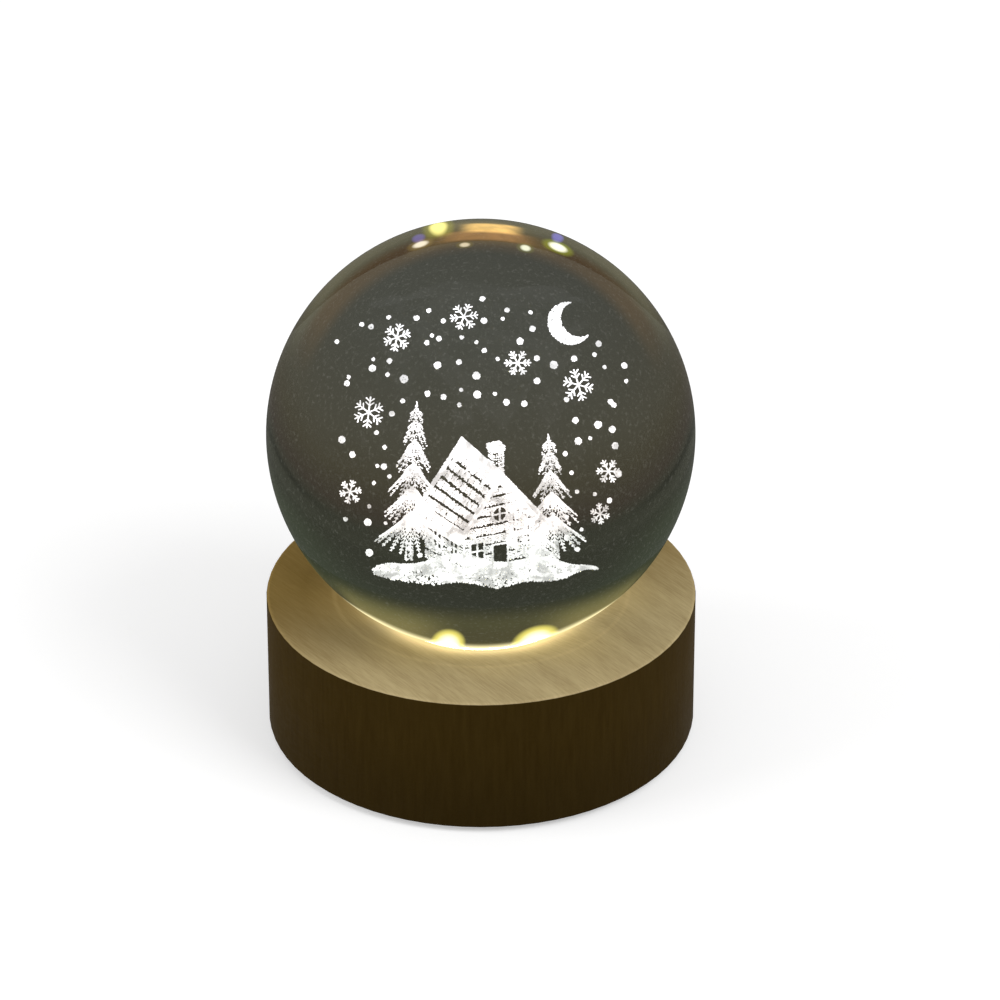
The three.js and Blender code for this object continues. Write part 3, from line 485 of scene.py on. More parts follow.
def rim_spots(tree, direction, height, rim):
    """Painted bars of light and painted highlights in the far rim at the top of the ball."""
    above = calc(tree, "GREATER_THAN", height, 0)
    behind = vector_calc(tree, "MULTIPLY", direction, (-1, -1, 1))
    streak = noise(tree, vector_calc(tree, "MULTIPLY", direction, STREAK_STRETCH), 1.0, 3, 0.6)
    streak = between(tree, streak, 0.3, 0.65, 0.7, 1.05)
    spots = []
    for right, up, half_wide, half_high, colour in BARS:
        far = product(tree, where_slanted(tree, rim, right, up, half_high), above)
        for way in (direction, behind):
            offsets = oval(tree, way, right, up, half_wide, half_high)
            inside = streak
            for offset, fade in zip(offsets, BAR_FADES):
                inside = product(tree, inside, between(tree, calc(tree, "ABSOLUTE", offset), *fade))
            inside = product(tree, inside, between(tree, rim, *BAR_RIM), far)
            spots.append(scaled(tree, colour, inside))
    for right, up, half_wide, half_high, colour, halo in HIGHLIGHTS:
        far = product(tree, where_slanted(tree, rim, right, up, half_high), above)
        ways = (direction, behind) if math.hypot(right, up) > OUTER_SHARE else (direction,)
        for way in ways:
            wide, high = oval(tree, way, right, up, half_wide, half_high)
            distance = calc(tree, "ADD", product(tree, wide, wide), product(tree, high, high))
            for light, fade in ((colour, CORE_FADE), (halo, HALO_FADE)):
                if max(light) > 0:
                    spots.append(scaled(tree, light, product(tree, between(tree, distance, *fade), far)))
    return spots


def painted_glass_light(tree, rim):
    """Painted light of the LEDs in the glass: low down over the seat, and in the far rim at the top.

    Heights run from -1 at the bottom of the ball to 1 at its top, the rim from 0 where the glass is
    seen straight on to 1 at its outline, and a fade from a place of no light to one of full light.
    """
    direction, height, angle = polar(tree)
    out = from_axis(tree, direction)
    turn = calc(tree, "ADD", angle, math.tau - PAIR_ANGLE)
    off_pair = calc(tree, "PINGPONG", turn, PAIR_STEP / 2)
    off_gap = calc(tree, "SUBTRACT", PAIR_STEP / 2, off_pair)
    aside = product(tree, out, calc(tree, "SINE", off_pair))
    off_middle = product(tree, out, calc(tree, "SINE", off_gap))
    measures = {"height": height, "rim": rim, "aside": aside, "midway": off_middle}
    near_pair = between(tree, off_pair, *GAP_FADE, GAP_LIGHT, 1)
    parts = []
    for colour, *limits in SEAT_GLOWS:
        parts.append(scaled(tree, colour, product(tree, limited(tree, measures, limits), near_pair)))
    for colour, *limits in RIM_GLOWS:
        parts.append(scaled(tree, colour, limited(tree, measures, limits)))
    parts += seat_spots(tree, measures, angle)
    parts += rim_spots(tree, direction, height, rim)
    total = parts[0]
    for part in parts[1:]:
        total = vector_calc(tree, "ADD", total, part)
    return total


def glass():
    """Crystal with dust on it, tinted dark as painted shade, with painted light on its front. The outside
    mirrors a darker room than the white one round it.
    """
    made, tree, shader = material("crystal", Roughness=0.0, IOR=GLASS_IOR, Transmission_Weight=1.0)
    rim = add(tree, "LayerWeight", {"Blend": 0.5}).outputs["Facing"]
    place = between(tree, polar(tree)[1], -1, 1, smooth=False)
    place = calc(tree, "SUBTRACT", place, between(tree, rim, *CURVE_RIM, 0, CURVE_RISE, smooth=False))
    # painted shade: a thin dark line near the outline, at one height
    off_shade_line = calc(tree, "ABSOLUTE", calc(tree, "SUBTRACT", place, SHADE_LINE_HEIGHT))
    shade_line = product(tree, between(tree, off_shade_line, *SHADE_LINE_FADE), between(tree, rim, *SHADE_LINE_RIM), SHADE_LINE_DEPTH)
    # painted shade: the dark tint by height
    tint = scaled(tree, ramp(tree, place, GLASS_TINTS), calc(tree, "SUBTRACT", 1, shade_line))
    tree.links.new(tint, shader.inputs["Base Color"])
    # painted shade: the tint darker towards the outline
    outline_shaded_tint = scaled(tree, tint, between(tree, rim, *OUTLINE_RIM, 1.0, OUTLINE_SHARE))
    root = vector_calc(tree, "POWER", outline_shaded_tint, (0.5, 0.5, 0.5))
    clear = add(tree, "BsdfRefraction", {"Color": root, "Roughness": 0.0, "IOR": GLASS_IOR})
    inside = add(tree, "NewGeometry").outputs["Backfacing"]
    share = between(tree, inside, 0, 1, OUTER_GLOSS, INNER_GLOSS, smooth=False)
    both = add(tree, "MixShader", {"Fac": share, 1: clear.outputs[0], 2: shader.outputs[0]})
    speck = noise(tree, object_point(tree), DUST_SCALE, 3, 0.7)
    dust = scaled(tree, DUST_COLOUR, between(tree, speck, *DUST_FADE))
    # haze here is painted glow by height plus dust specks painted as faint light; the painted LED light
    # is added next
    haze = vector_calc(tree, "ADD", ramp(tree, place, PAINTED_GLASS_GLOWS), dust)
    light = vector_calc(tree, "ADD", painted_glass_light(tree, rim), haze)
    front = between(tree, inside, 0, 1, 1, 0, smooth=False)
    glow = add(tree, "Emission", {"Color": light, "Strength": front})
    total = add(tree, "AddShader", {0: both.outputs[0], 1: glow.outputs[0]})
    tree.links.new(total.outputs[0], tree.nodes["Material Output"].inputs["Surface"])
    return only_shown(made)


def marks():
    """White frosted marks, with the LED light that they scatter painted on as a glow."""
    made, tree, shader = material("engraving", Base_Color=(0.9, 0.92, 0.94, 1), Roughness=0.8)
    uneven = noise(tree, object_point(tree), 0.5, 3, 0.6)
    shine(tree, shader, between(tree, uneven, 0.35, 0.6, *ENGRAVING_LIGHT), (0.90, 0.89, 1.0))
    return only_shown(made)


def wood():
    """Pale beech on the top, with painted shade deeper at the back on the left, the side painted dark
    brown as shade, and painted LED light round the seat.
    """
    made, tree, shader = material("wood", Specular_IOR_Level=0.04, Sheen_Weight=0.016,
                                  Sheen_Roughness=1.0, Sheen_Tint=(1.0, 0.6, 0.05, 1))
    point = object_point(tree)
    place = add(tree, "SeparateXYZ", {0: point}).outputs
    radius = from_axis(tree, point)
    fine = noise(tree, object_point(tree, FINE_GRAIN, GRAIN_TURN), 1.5, 4, 0.65)
    broad = noise(tree, object_point(tree, BROAD_GRAIN, GRAIN_TURN), 1.0, 3, 0.5)
    grain = calc(tree, "ADD", product(tree, fine, FINE_SHARE), product(tree, broad, 1 - FINE_SHARE))
    # painted shade: the top darker towards the back on the left
    leftward = calc(tree, "SUBTRACT", place["Y"], product(tree, place["X"], TOP_SHADE_SLOPE))
    deep = between(tree, leftward, *TOP_SHADE_FADE)
    top_colour = mix_colour(tree, deep, ramp(tree, grain, PALE_WOOD), ramp(tree, grain, SHADED_TOP_WOOD))
    stripes = noise(tree, object_point(tree, SIDE_GRAIN), 1.6, 4, 0.6)
    # painted shade: the side dark brown, lighter towards the top
    side_shade = between(tree, place["Z"], *SIDE_SHADE_HEIGHTS, *SIDE_SHADE_LEVELS)
    side_colour = scaled(tree, ramp(tree, stripes, SIDE_SHADE_WOOD), side_shade)
    normal = add(tree, "SeparateXYZ", {0: add(tree, "NewGeometry").outputs["Normal"]}).outputs["Z"]
    high = calc(tree, "GREATER_THAN", place["Z"], PALE_HEIGHT)
    bare = calc(tree, "MAXIMUM", high, calc(tree, "LESS_THAN", radius, PALE_RADIUS))
    top = product(tree, between(tree, normal, 0.45, 0.6), bare)
    tree.links.new(mix_colour(tree, top, side_colour, top_colour), shader.inputs["Base Color"])
    tree.links.new(between(tree, grain, 0.3, 0.7, 0.85, 0.7), shader.inputs["Roughness"])
    bump(tree, shader, calc(tree, "ADD", fine, stripes), 0.02 * MM)
    # painted LED light on the top round the seat, and a painted faint ring of light
    near = between(tree, radius, *SEAT_LIGHT_FADE, smooth=False)
    near = calc(tree, "ADD", calc(tree, "POWER", near, 6), product(tree, near, SEAT_LIGHT_FAR))
    ring = calc(tree, "ABSOLUTE", calc(tree, "SUBTRACT", radius, LIGHT_RING))
    ring = product(tree, between(tree, ring, *LIGHT_RING_FADE), LIGHT_RING_LEVEL)
    glow = product(tree, calc(tree, "ADD", product(tree, near, SEAT_LIGHT), ring), top)
    shine(tree, shader, glow, SEAT_LIGHT_COLOUR)
    return only_shown(made)


def lit_white():
    """White plastic of the light well, with the LED light on it painted on as a glow."""
    made, tree, shader = material("lit_white", Base_Color=(0.78, 0.75, 0.68, 1), Roughness=0.6)
    point = object_point(tree)
    speck = noise(tree, point, 3.0, 3, 0.6)
    within = calc(tree, "LESS_THAN", from_axis(tree, point), LIT_RADIUS / MM)
    height = add(tree, "SeparateXYZ", {0: point}).outputs["Z"]
    above = calc(tree, "GREATER_THAN", height, LIT_HEIGHT / MM)
    # painted LED light on the plastic above the board
    glow = product(tree, between(tree, speck, 0.3, 0.7, *WELL_LIGHT), within, above)
    shine(tree, shader, glow, (1.0, 0.72, 0.34))
    return only_shown(made)


def led_lens():
    """Phosphor of a lit LED."""
    made, tree, shader = material("led", Base_Color=(1.0, 0.72, 0.25, 1), Roughness=0.3)
    speck = noise(tree, object_point(tree), 5.0, 2, 0.5)
    shine(tree, shader, between(tree, speck, 0.3, 0.7, *LED_LIGHT), (1.0, 0.85, 0.5))
    return only_shown(made)


def acrylic():
    """Clear cast window with a faint haze."""
    made, tree, shader = material("acrylic", Base_Color=(0.95, 0.94, 0.9, 1), IOR=1.49,
                                  Transmission_Weight=1.0)
    haze = noise(tree, object_point(tree), 0.6, 3, 0.6)
    tree.links.new(between(tree, haze, 0.3, 0.7, *WINDOW_HAZE), shader.inputs["Roughness"])
    return made


def plastic(name, colour, roughness, grain=4.0, depth=0.02):
    """Moulded plastic with a fine texture and a slightly uneven gloss."""
    made, tree, shader = material(name)
    cells = noise(tree, object_point(tree), grain, 3, 0.6)
    lighter = tuple(min(1.0, value * 1.3) for value in colour)
    tree.links.new(mix_colour(tree, cells, colour, lighter), shader.inputs["Base Color"])
    gloss = between(tree, cells, 0.3, 0.7, roughness - 0.06, roughness + 0.08)
    tree.links.new(gloss, shader.inputs["Roughness"])
    bump(tree, shader, cells, depth * MM)
    return made


def metal():
    """Nickel plate with faint turning lines."""
    made, tree, shader = material("steel", Base_Color=(0.5, 0.51, 0.52, 1), Metallic=1.0)
    streaks = noise(tree, object_point(tree, (1, 1, 6)), 3.0, 3, 0.6)
    tree.links.new(between(tree, streaks, 0.3, 0.7, 0.22, 0.4), shader.inputs["Roughness"])
    bump(tree, shader, streaks, 0.004 * MM)
    return made


MATERIALS = {
    "crystal": glass(),
    "engraving": marks(),
    "wood": wood(),
    "acrylic": acrylic(),
    "white_plastic": plastic("white_plastic", (0.72, 0.69, 0.62), 0.55),
    "black_plastic": plastic("black_plastic", (0.010, 0.010, 0.011), 0.4),
    "cover_plastic": plastic("cover_plastic", (0.014, 0.013, 0.011), 0.62, 6.0, 0.05),
    "board": plastic("board", (0.012, 0.11, 0.04), 0.4),
    "led": led_lens(),
    "steel": metal(),
    "wire_red": plastic("wire_red", (0.42, 0.012, 0.01), 0.45),
    "wire_black": plastic("wire_black", (0.008, 0.008, 0.009), 0.45),
    "foot_rubber": plastic("foot_rubber", (0.024, 0.024, 0.026), 0.85, 5.0, 0.04),
}
LIT_NODES = ("led_board", "led_housing")


def smooth_group():
    """A modifier's node group that joins facets and shades them smooth below the sharp angle."""
    group = bpy.data.node_groups.new("smooth_by_angle", "GeometryNodeTree")
    for way in ("INPUT", "OUTPUT"):
        group.interface.new_socket("Geometry", in_out=way, socket_type="NodeSocketGeometry")
    nodes, link = group.nodes, group.links.new
    start, end = nodes.new("NodeGroupInput"), nodes.new("NodeGroupOutput")
    merge = nodes.new("GeometryNodeMergeByDistance")
    merge.inputs["Distance"].default_value = MERGE_REACH
    plain = nodes.new("GeometryNodeRemoveAttribute")
    plain.inputs["Name"].default_value = "custom_normal"
    soft = nodes.new("GeometryNodeSetShadeSmooth")
    sharp = nodes.new("GeometryNodeSetShadeSmooth")
    sharp.domain = "EDGE"
    sharp.inputs["Shade Smooth"].default_value = False
    edge = nodes.new("GeometryNodeInputMeshEdgeAngle")
    test = nodes.new("FunctionNodeCompare")
    test.data_type = "FLOAT"
    test.operation = "GREATER_THAN"
    test.inputs["B"].default_value = SHARP_ANGLE
    chain = [start, merge, plain, soft, sharp, end]
    for before, after in zip(chain, chain[1:]):
        link(before.outputs[0], after.inputs[0])
    link(edge.outputs["Unsigned Angle"], test.inputs["A"])
    link(test.outputs[0], sharp.inputs["Selection"])
    return group


def dress_nodes():
    """Gives every node of the frame its material and smooth round faces."""
    group = smooth_group()
    lit = lit_white()
    for part in frame["record"]["subparts"]:
        node = frame["nodes"][part["node"]]
        finish = lit if part["node"] in LIT_NODES else MATERIALS[part["material_slot"]]
        node.data.materials.clear()
        node.data.materials.append(finish)
        modifier = node.modifiers.new("smooth", "NODES")
        modifier.node_group = group
        if part["node"] in LIT_NODES or part["material_slot"] == "led":
            node.visible_diffuse = False


def linked(name, data):
    made = bpy.data.objects.new(name, data)
    bpy.context.scene.collection.objects.link(made)
    return made


def mesh_of(bm, name):
    data = bpy.data.meshes.new(name)
    bm.to_mesh(data)
    bm.free()
    return data


def new_piece(name, data, body, slot):
    """An object of this mesh, with its material, its body and its slot."""
    data.materials.append(MATERIALS[slot])
    piece = linked(name, data)
    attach(piece, body)
    return piece


def glass_ball():
    bm = bmesh.new()
    around, down = BALL_FACES
    bmesh.ops.create_uvsphere(bm, u_segments=around, v_segments=down, radius=BALL_RADIUS)
    bmesh.ops.translate(bm, verts=bm.verts, vec=BALL_CENTRE)
    for face in bm.faces:
        face.smooth = True
    ball = new_piece("glass_ball", mesh_of(bm, "glass_ball"), "ball", "crystal")
    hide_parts("crystal_ball")


def rings_to_piece(name, rings, body, slot, node):
    """A closed body from rings of as many points each, the last one joined to the first."""
    count = len(rings[0])
    verts = [point for ring in rings for point in ring]
    faces = []
    for i in range(len(rings)):
        j = (i + 1) % len(rings)
        for k in range(count):
            m = (k + 1) % count
            faces.append((i * count + k, i * count + m, j * count + m, j * count + k))
    data = bpy.data.meshes.new(name)
    data.from_pydata(verts, [], faces)
    bm = bmesh.new()
    bm.from_mesh(data)
    bmesh.ops.remove_doubles(bm, verts=bm.verts, dist=MERGE_REACH / 2)
    loose = [edge for edge in bm.edges if not edge.link_faces]
    bmesh.ops.delete(bm, geom=loose, context="EDGES")
    bmesh.ops.recalc_face_normals(bm, faces=bm.faces)
    for face in bm.faces:
        face.smooth = True
    for edge in bm.edges:
        edge.smooth = len(edge.link_faces) == 2 and edge.calc_face_angle() < SHARP_ANGLE
    bm.to_mesh(data)
    bm.free()
    piece = new_piece(name, data, body, slot)
    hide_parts(node)


def slot_outline(half_length, half_height):
    """Points round a slot with round ends, as (along, up)."""
    straight = half_length - half_height
    points = []
    for k in range(RING_POINTS):
        angle = (k + 0.5) / RING_POINTS * math.tau
        end = straight if math.cos(angle) > 0 else -straight
        points.append((end + half_height * math.cos(angle), half_height * math.sin(angle)))
    return points


def rounding(steps):
    """Points of a rounded edge in shares of its radius: in from the side, and down from the face."""
    turns = [k / steps * math.pi / 2 for k in range(steps + 1)]
    return [(1 - math.cos(t), 1 - math.sin(t)) for t in turns]


def bezel():
    """A moulded tray round the port, with rolled edges; its rim follows the outside of the base."""
    low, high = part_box("usb_bezel")
    shell_low, shell_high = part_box("usb_shell")
    middle = (low.z + high.z) / 2
    half_length, half_height = (high.x - low.x) / 2, (high.z - low.z) / 2
    rim_radius = high.y
    floor_y = low.y + BEZEL_FLOOR

    def ring(inset, y=None, sink=0.0):
        points = []
        for x, z in slot_outline(half_length - inset, half_height - inset):
            depth = math.sqrt(rim_radius ** 2 - x ** 2) - sink if y is None else y
            points.append((x, depth, middle + z))
        return points

    shares = rounding(4)
    outer = [ring(BEZEL_EDGE * aside, sink=BEZEL_EDGE * down) for aside, down in shares]
    inner = [ring(BEZEL_WALL - BEZEL_EDGE * down, sink=BEZEL_EDGE * aside) for aside, down in shares]
    foot = [ring(BEZEL_WALL + BEZEL_FOOT * aside, floor_y + BEZEL_FOOT * down) for aside, down in shares]
    hole = slot_outline(shell_high.x + BEZEL_GAP, (shell_high.z - shell_low.z) / 2 + BEZEL_GAP)
    rings = [ring(0, low.y)] + outer + inner + foot
    rings += [[(x, y, middle + z) for x, z in hole] for y in (floor_y, low.y)]
    rings_to_piece("fine_bezel", rings, "base", "black_plastic", "usb_bezel")


def turned_outwards(name, profile, height, body, slot, node):
    """A body turned about the button's axis from (radius, distance from the lamp's axis) points."""
    up = Vector((0, 0, 1))
    side = up.cross(BUTTON_WAY)
    turns = [k / RING_POINTS * math.tau for k in range(RING_POINTS)]
    rings = []
    for radius, reach in profile:
        middle = BUTTON_WAY * reach + up * height
        rings.append([middle + side * radius * math.cos(t) + up * (radius * math.sin(t)) for t in turns])
    rings_to_piece(name, rings, body, slot, node)


def reach_along(node):
    """Where a node begins and ends along the button's axis, its radius round it and its height."""
    low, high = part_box(node)
    along = [v.co.dot(BUTTON_WAY) for v in frame["nodes"][node].data.vertices]
    return min(along), max(along), (high.z - low.z) / 2, (low.z + high.z) / 2


def button():
    """A button with a rounded edge and a dished face, and its turned metal bush."""
    back, front, flange, _ = reach_along("button_bush")
    stem, face, collar, height = reach_along("power_button")
    collar_back, collar_front = [stem + place for place in COLLAR_PLACES]
    profile = [(0, stem), (STEM_RADIUS, stem), (STEM_RADIUS, collar_back), (collar, collar_back)]
    profile += [(collar, collar_front), (CAP_RADIUS, collar_front)]
    steps = 8
    for aside, down in rounding(steps):
        profile.append((CAP_RADIUS - CAP_ROLL * aside, face - CAP_ROLL * down))
    for k in range(1, steps + 1):
        share = k / steps
        dish = CAP_DISH * (1 - (1 - share) ** 2)
        profile.append(((CAP_RADIUS - CAP_ROLL) * (1 - share), face - dish))
    turned_outwards("fine_button", profile, height, "button", "black_plastic", "power_button")
    flange_back = front - BUSH_FLANGE
    profile = [(BUSH_BORE, back), (BUSH_SLEEVE, back), (BUSH_SLEEVE, flange_back), (flange, flange_back)]
    for aside, down in rounding(4):
        profile.append((flange - BUSH_BEVEL * aside, front - BUSH_BEVEL * down))
    for radius in (flange - GROOVE_INSET, BUSH_BORE + GROOVE_INSET):
        profile += [(radius + GROOVE_HALF, front), (radius, front - GROOVE_DEPTH)]
        profile.append((radius - GROOVE_HALF, front))
    profile += [(BUSH_BORE + BUSH_BEVEL, front), (BUSH_BORE, front - BUSH_BEVEL)]
    turned_outwards("fine_bush", profile, height, "base", "steel", "button_bush")


def marked(name, points, size):
    """A piece made of small octahedra at these points, in millimetres from the ball's middle."""
    sides = [Vector(s) for s in ((1, 0, 0), (0, 1, 0), (-1, 0, 0), (0, -1, 0), (0, 0, 1), (0, 0, -1))]
    corners = [(0, 1, 4), (1, 2, 4), (2, 3, 4), (3, 0, 4), (1, 0, 5), (2, 1, 5), (3, 2, 5), (0, 3, 5)]
    verts, faces = [], []
    for point in points:
        start = len(verts)
        reach = size * chance.uniform(*MARK_SPREAD) * MM
        middle = BALL_CENTRE + Vector(point) * MM
        verts += [middle + side * reach for side in sides]
        faces += [tuple(start + c for c in face) for face in corners]
    data = bpy.data.meshes.new(name)
    data.from_pydata(verts, [], faces)
    new_piece(name, data, "ball", "engraving").visible_diffuse = False


def patch(corner, across, along, step, keep=None):
    """Jittered points over a parallelogram; keep takes the shares of both sides, 0 to 1."""
    corner, across, along = Vector(corner), Vector(across), Vector(along)
    columns = max(1, round(across.length / step))
    rows = max(1, round(along.length / step))
    points = []
    for i in range(columns):
        for j in range(rows):
            u = (i + chance.uniform(*JITTER)) / columns
            v = (j + chance.uniform(*JITTER)) / rows
            if keep is None or keep(u, v):
                points.append(corner + across * u + along * v)
    return points


def placed(points, where, turn=0.0):
    spin = Matrix.Rotation(turn, 3, "Z")
    return [spin @ point + Vector(where) for point in points]


def line(a, b):
    """Marks packed along a straight edge."""
    a, b = Vector(a), Vector(b)
    count = max(2, round((b - a).length / LINE_STEP)) * LINE_COPIES
    points = []
    for k in range(count):
        off = Vector([chance.uniform(-LINE_SPREAD, LINE_SPREAD) for _ in range(3)])
        points.append(a.lerp(b, k / (count - 1)) + off)
    return points


def frame_lines(corners, closed=True):
    ends = corners[1:] + corners[:1] if closed else corners[1:]
    return [point for a, b in zip(corners, ends) for point in line(a, b)]


def window(place, half):
    """Frame and crossbars; place takes a distance across the wall and a height."""
    low, high = PANE_MIDDLE - PANE_HALF, PANE_MIDDLE + PANE_HALF
    points = frame_lines([place(-half, low), place(half, low), place(half, high), place(-half, high)])
    points += line(place(0, low), place(0, high))
    points += line(place(-half, PANE_MIDDLE), place(half, PANE_MIDDLE))
    return points


def in_plank_gap(z):
    return z % PLANK < PLANK_GAP


def in_pane(across, z, panes, half):
    return abs(z - PANE_MIDDLE) < PANE_HALF and any(abs(across - a) < half for a in panes)


def front_wall(y, wide, wall, ridge):
    """Gable wall with a door, two windows with crossbars and a round window over them."""
    half = wide / 2
    door, door_top = DOOR_SIZE
    middle, reach = ROUND_WINDOW

    def keep(u, v):
        x, z = (u - 0.5) * wide, v * ridge
        under_roof = z < wall or abs(x) < half * (ridge - z) / (ridge - wall)
        in_door = abs(x) < door and z < door_top
        in_round = math.hypot(x, z - middle) < reach
        hole = in_door or in_round or in_pane(x, z, FRONT_PANES, FRONT_PANE_HALF)
        return under_roof and not (hole or in_plank_gap(z))

    points = patch((-half, y, 0), (wide, 0, 0), (0, 0, ridge), 0.13, keep)
    door_corners = [(-door, y, 0), (-door, y, door_top), (door, y, door_top), (door, y, 0)]
    points += frame_lines(door_corners, closed=False)
    for a in FRONT_PANES:
        points += window(lambda across, z: (a + across, y, z), FRONT_PANE_HALF)
    turns = [t / 12 * math.tau for t in range(12)]
    circle = [(reach * math.cos(t), y, middle + reach * math.sin(t)) for t in turns]
    points += frame_lines(circle)
    points += line((0, y, middle - reach), (0, y, middle + reach))
    points += line((-reach, y, middle), (reach, y, middle))
    points += frame_lines([(-half, y, 0), (-half, y, wall), (0, y, ridge), (half, y, wall), (half, y, 0)])
    return points


def roof_side(side, wide, deep, wall, ridge):
    """A roof slope with rows of shingles under snow, and thick edges."""
    half = wide / 2 + EAVES
    back, front = deep / 2 + VERGE, -deep / 2 - VERGE
    low, high = wall - EAVES_DROP, ridge + ROOF_STEP
    row_gap, shingle_gap = SHINGLE_GAPS

    def keep(u, v):
        row = (u * SHINGLE_ROWS) % 1
        shift = 0.5 if int(u * SHINGLE_ROWS) % 2 else 0
        shingle = (v * SHINGLE_COLUMNS + shift) % 1
        drift = 0.80 + 0.05 * math.sin(v * 19) + 0.03 * math.sin(v * 47)
        return u > drift or row > row_gap and shingle > shingle_gap

    slope = (-side * half, 0, high - low)
    points = patch((side * half, front, low + 2 * ROOF_STEP), slope, (0, back - front, 0), 0.12, keep)
    for k in range(4):
        lift = k * ROOF_STEP
        eaves = [(side * half, front, low + lift), (side * half, back, low + lift)]
        top = [(0, front, high + lift), (0, back, high + lift)]
        points += line(eaves[0], top[0]) + line(*eaves) + line(*top) + line(eaves[1], top[1])
    return points


def cottage():
    """A gabled cottage with a snowy roof, a door, windows and a chimney."""
    wide, deep, wall, ridge = COTTAGE_SIZE
    half_deep = deep / 2

    def flank(u, v):
        y, z = u * deep, v * wall
        return not (in_pane(y, z, SIDE_PANES, SIDE_PANE_HALF) or in_plank_gap(z))

    points = front_wall(-half_deep, wide, wall, ridge)
    for side in (-1, 1):
        x = side * wide / 2
        points += patch((x, -half_deep, 0), (0, deep, 0), (0, 0, wall), 0.17, flank)
        for y in [a - half_deep for a in SIDE_PANES]:
            points += window(lambda across, z: (x, y + across, z), SIDE_PANE_HALF)
        points += roof_side(side, wide, deep, wall, ridge)
    for x, y, across in CHIMNEY_SIDES:
        points += patch((x, y, CHIMNEY_FOOT), across, (0, 0, CHIMNEY_HEIGHT), 0.21,
                        lambda u, v: (v * CHIMNEY_COURSES) % 1 > 0.2)
    x, y, size = CHIMNEY_CAP
    for height in CHIMNEY_CAPS:
        points += patch((x, y, height), (size, 0, 0), (0, size, 0), 0.15)
    return placed(points, (*COTTAGE_PLACE, GROUND), COTTAGE_TURN)


def bough(root, out, side, long, fall):
    """A drooping bough with twigs along both of its sides."""
    points = []
    steps = max(3, round(long / LINE_STEP))
    for k in range(1, steps + 1):
        share = k / steps
        spine = root + out * long * share - Vector((0, 0, fall * share ** 0.8))
        points.append(spine)
        if k % 3:
            continue
        for turn in (-1, 1):
            way = out * 0.6 + side * turn * 0.8
            count = round((0.2 + 0.45 * (1 - share)) / LINE_STEP)
            for j in range(1, count):
                points.append(spine + way * LINE_STEP * j - Vector((0, 0, 0.015 * j * j)))
    return points


def fir(x, y, height, radius, tiers):
    """A fir: tiers of boughs round a trunk, wider towards the ground."""
    points = []
    thick, high = TRUNK_SIZE
    for _ in range(TRUNK_MARKS):
        a = chance.uniform(0, math.tau)
        points.append(Vector((thick * math.cos(a), thick * math.sin(a), chance.uniform(0, high))))
    points += line((0, 0, height - FIR_TIP), (0, 0, height))
    for tier in range(tiers):
        top = height - (height - FIR_FOOT) * max(0, tier / tiers - 0.07)
        bottom = height - (height - FIR_FOOT) * (tier + 1) / tiers
        wide = radius * (tier + 1.3) / (tiers + 0.3)
        boughs = 8 + 2 * tier
        for k in range(boughs):
            angle = (k + chance.uniform(-0.25, 0.25)) / boughs * math.tau + tier
            out = Vector((math.cos(angle), math.sin(angle), 0))
            side = Vector((-math.sin(angle), math.cos(angle), 0))
            share = chance.uniform(0.82, 1.0)
            points += bough(Vector((0, 0, top)), out, side, wide * share, (top - bottom) * share)
    return placed(points, (x, y, GROUND))


def mound():
    """Snowy ground under the cottage and the firs, with a ragged edge and small drifts."""
    half_long, half_deep = MOUND_SIZE
    points = []
    while len(points) < MOUND_MARKS:
        angle = chance.uniform(0, math.tau)
        share = math.sqrt(chance.random())
        ragged = 1 + 0.06 * math.sin(3 * angle + 1) + 0.04 * math.sin(7 * angle)
        x, y = half_long * share * ragged * math.cos(angle), half_deep * share * ragged * math.sin(angle)
        drift = 0.35 * math.sin(0.9 * x) * math.cos(0.8 * y + 0.6)
        points.append((x, y, GROUND - 0.25 + drift - 0.5 * share ** 3 + chance.uniform(-0.08, 0.08)))
    for _ in range(DRIFTS):
        x, y = chance.uniform(*DRIFT_RIGHTS), chance.uniform(*DRIFT_DEPTHS)
        for _ in range(DRIFT_MARKS):
            reach = chance.uniform(0, 0.4)
            lean = chance.uniform(0, math.tau)
            rise = chance.uniform(0, 0.5)
            points.append((x + reach * math.cos(lean), y + reach * math.sin(lean), GROUND + rise))
    return points


def in_view(right, up, toward):
    """A point given as seen by the camera, from the middle of the ball."""
    return RIGHT * right + UPWARD * up + TOWARD * toward


def flake(right, up, toward, size):
    """A six-armed snow crystal whose arms have two pairs of branches."""
    centre = in_view(right, up, toward)
    tilt = chance.uniform(-0.3, 0.3)
    spin = chance.uniform(0, math.pi / 3)
    across = (RIGHT * math.cos(tilt) + TOWARD * math.sin(tilt)).normalized()
    points = []
    for arm in range(6):
        a = spin + arm * math.pi / 3
        axis = across * math.cos(a) + UPWARD * math.sin(a)
        steps = int(size / 2 / FLAKE_STEP)
        points += [centre + axis * (FLAKE_STEP * k) for k in range(steps + 1)]
        for start in BRANCH_SHARES:
            for turn in (-1, 1):
                b = a + turn * BRANCH_TURN
                branch = across * math.cos(b) + UPWARD * math.sin(b)
                root = centre + axis * (size / 2 * start)
                steps = int(size * 0.2 / FLAKE_STEP)
                points += [root + branch * (FLAKE_STEP * k) for k in range(1, steps)]
    return points


def moon():
    """A crescent, thicker in its middle."""
    points = []
    reach = MOON_RADIUS
    right, up, toward = MOON
    bite_right, bite_up, bite = [share * reach for share in MOON_BITE]
    while len(points) < MOON_MARKS:
        x, z = chance.uniform(-reach, reach), chance.uniform(-reach, reach)
        inside_disc = math.hypot(x, z) < reach
        outside_bite = math.hypot(x - bite_right, z - bite_up) > bite
        if inside_disc and outside_bite:
            points.append(in_view(right + x, up + z, toward + chance.uniform(-0.15, 0.15)))
    return points


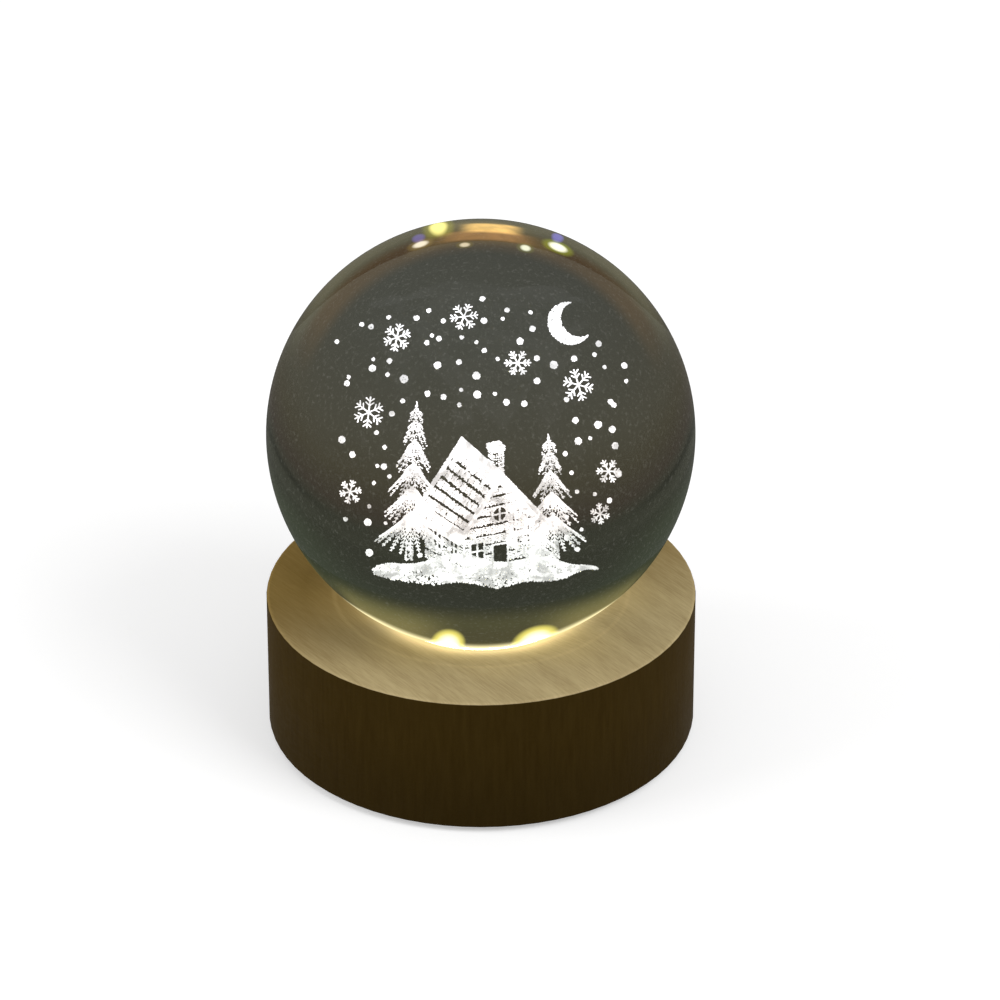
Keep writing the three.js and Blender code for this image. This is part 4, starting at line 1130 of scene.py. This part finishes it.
def snowfall():
    """Round snow grains, as bunches of marks, spread through the ball round the scene."""
    grains = []
    while len(grains) < SNOW_COUNT:
        right, up = chance.uniform(*SNOW_RIGHTS), chance.uniform(*SNOW_UPS)
        by_moon = math.hypot(right - MOON[0], up - MOON[1]) < MOON_ROOM
        busy = abs(right) < 8.2 and SNOW_UPS[0] < up < 2.5 or by_moon
        beyond = math.hypot(right, up) > SNOW_REACH
        near = [g for g in grains if math.hypot(g[0] - right, g[1] - up) < SNOW_SPACING]
        near += [f for f in FLAKES if math.hypot(f[0] - right, f[1] - up) < f[3] * 0.75]
        if busy and chance.random() < 0.93 or beyond or near:
            continue
        grains.append((right, up, chance.uniform(*SNOW_DEPTHS), 0.17 + 0.19 * chance.random() ** 1.5))
    points = []
    for right, up, toward, radius in grains:
        centre = in_view(right, up, toward)
        for _ in range(int(SNOW_MARKS * (radius / SNOW_RADIUS) ** 2)):
            away = Vector([chance.gauss(0, 1) for _ in range(3)]).normalized()
            points.append(centre + away * radius * chance.uniform(0.7, 1.0))
    return points


def engraving():
    marked("engraved_cottage", cottage(), 0.17)
    marked("engraved_trees", [point for tree in FIRS for point in fir(*tree)], 0.14)
    marked("engraved_ground", mound(), 0.19)
    marked("engraved_flakes", [point for shape in FLAKES for point in flake(*shape)], 0.19)
    marked("engraved_moon", moon(), 0.16)
    marked("engraved_snowfall", snowfall(), 0.13)


def camera():
    data = bpy.data.cameras.new("camera")
    data.lens = CAMERA_LENS
    data.clip_start = CAMERA_CLIP
    cam = linked("camera", data)
    bpy.context.scene.camera = cam
    cam.location = CAMERA_PLACE
    aim = CAMERA_AXIS + AIM_RIGHT * RIGHT + AIM_UP * UPWARD
    cam.rotation_euler = (aim - cam.location).to_track_quat("-Z", "Y").to_euler()


def seen_share(tree):
    """1 for the rays that see a background: from the camera, off gloss and through glass."""
    path = add(tree, "LightPath")
    either = calc(tree, "MAXIMUM", path.outputs["Is Camera Ray"], path.outputs["Is Glossy Ray"])
    return calc(tree, "MAXIMUM", either, path.outputs["Is Transmission Ray"])


def world():
    made = bpy.data.worlds.new("studio")
    bpy.context.scene.world = made
    made.use_nodes = True
    tree = made.node_tree
    background = tree.nodes["Background"]
    background.inputs["Color"].default_value = (1, 1, 1, 1)
    level = between(tree, seen_share(tree), 0, 1, WORLD_LEVEL, 1.0, smooth=False)
    tree.links.new(level, background.inputs["Strength"])


def floor():
    bm = bmesh.new()
    bmesh.ops.create_grid(bm, x_segments=1, y_segments=1, size=FLOOR_SIZE / 2)
    data = mesh_of(bm, "floor")
    plane = linked("floor", data)
    made, tree, shader = material("floor", Base_Color=FLOOR_COLOUR, Roughness=1.0, Specular_IOR_Level=0)
    away = vector_calc(tree, "LENGTH", add(tree, "TexCoord").outputs["Object"], output="Value")
    level = between(tree, away, *FLOOR_FADE, FLOOR_LIFT, FLOOR_FAR_LIFT)
    shine(tree, shader, product(tree, seen_share(tree), level), (1, 1, 1))
    data.materials.append(only_shown(made))


def area_lamp(name, place, size, power):
    data = bpy.data.lights.new(name, "AREA")
    data.size = size
    data.energy = power
    lamp = linked(name, data)
    lamp.location = place
    lamp.rotation_euler = (Vector(LAMP_AIM) - Vector(place)).to_track_quat("-Z", "Y").to_euler()
    lamp.visible_glossy = False
    lamp.visible_transmission = False


def render_settings():
    scene = bpy.context.scene
    scene.view_settings.view_transform = "Standard"
    scene.cycles.max_bounces = BOUNCES
    scene.cycles.transmission_bounces = BOUNCES
    scene.cycles.glossy_bounces = GLOSSY_BOUNCES
    scene.cycles.transparent_max_bounces = CLEAR_BOUNCES
    scene.cycles.sample_clamp_indirect = 0


chance = random.Random(7)
render_settings()
camera()
world()
floor()
for lamp in LAMPS:
    area_lamp(*lamp)
dress_nodes()
glass_ball()
bezel()
button()
engraving()
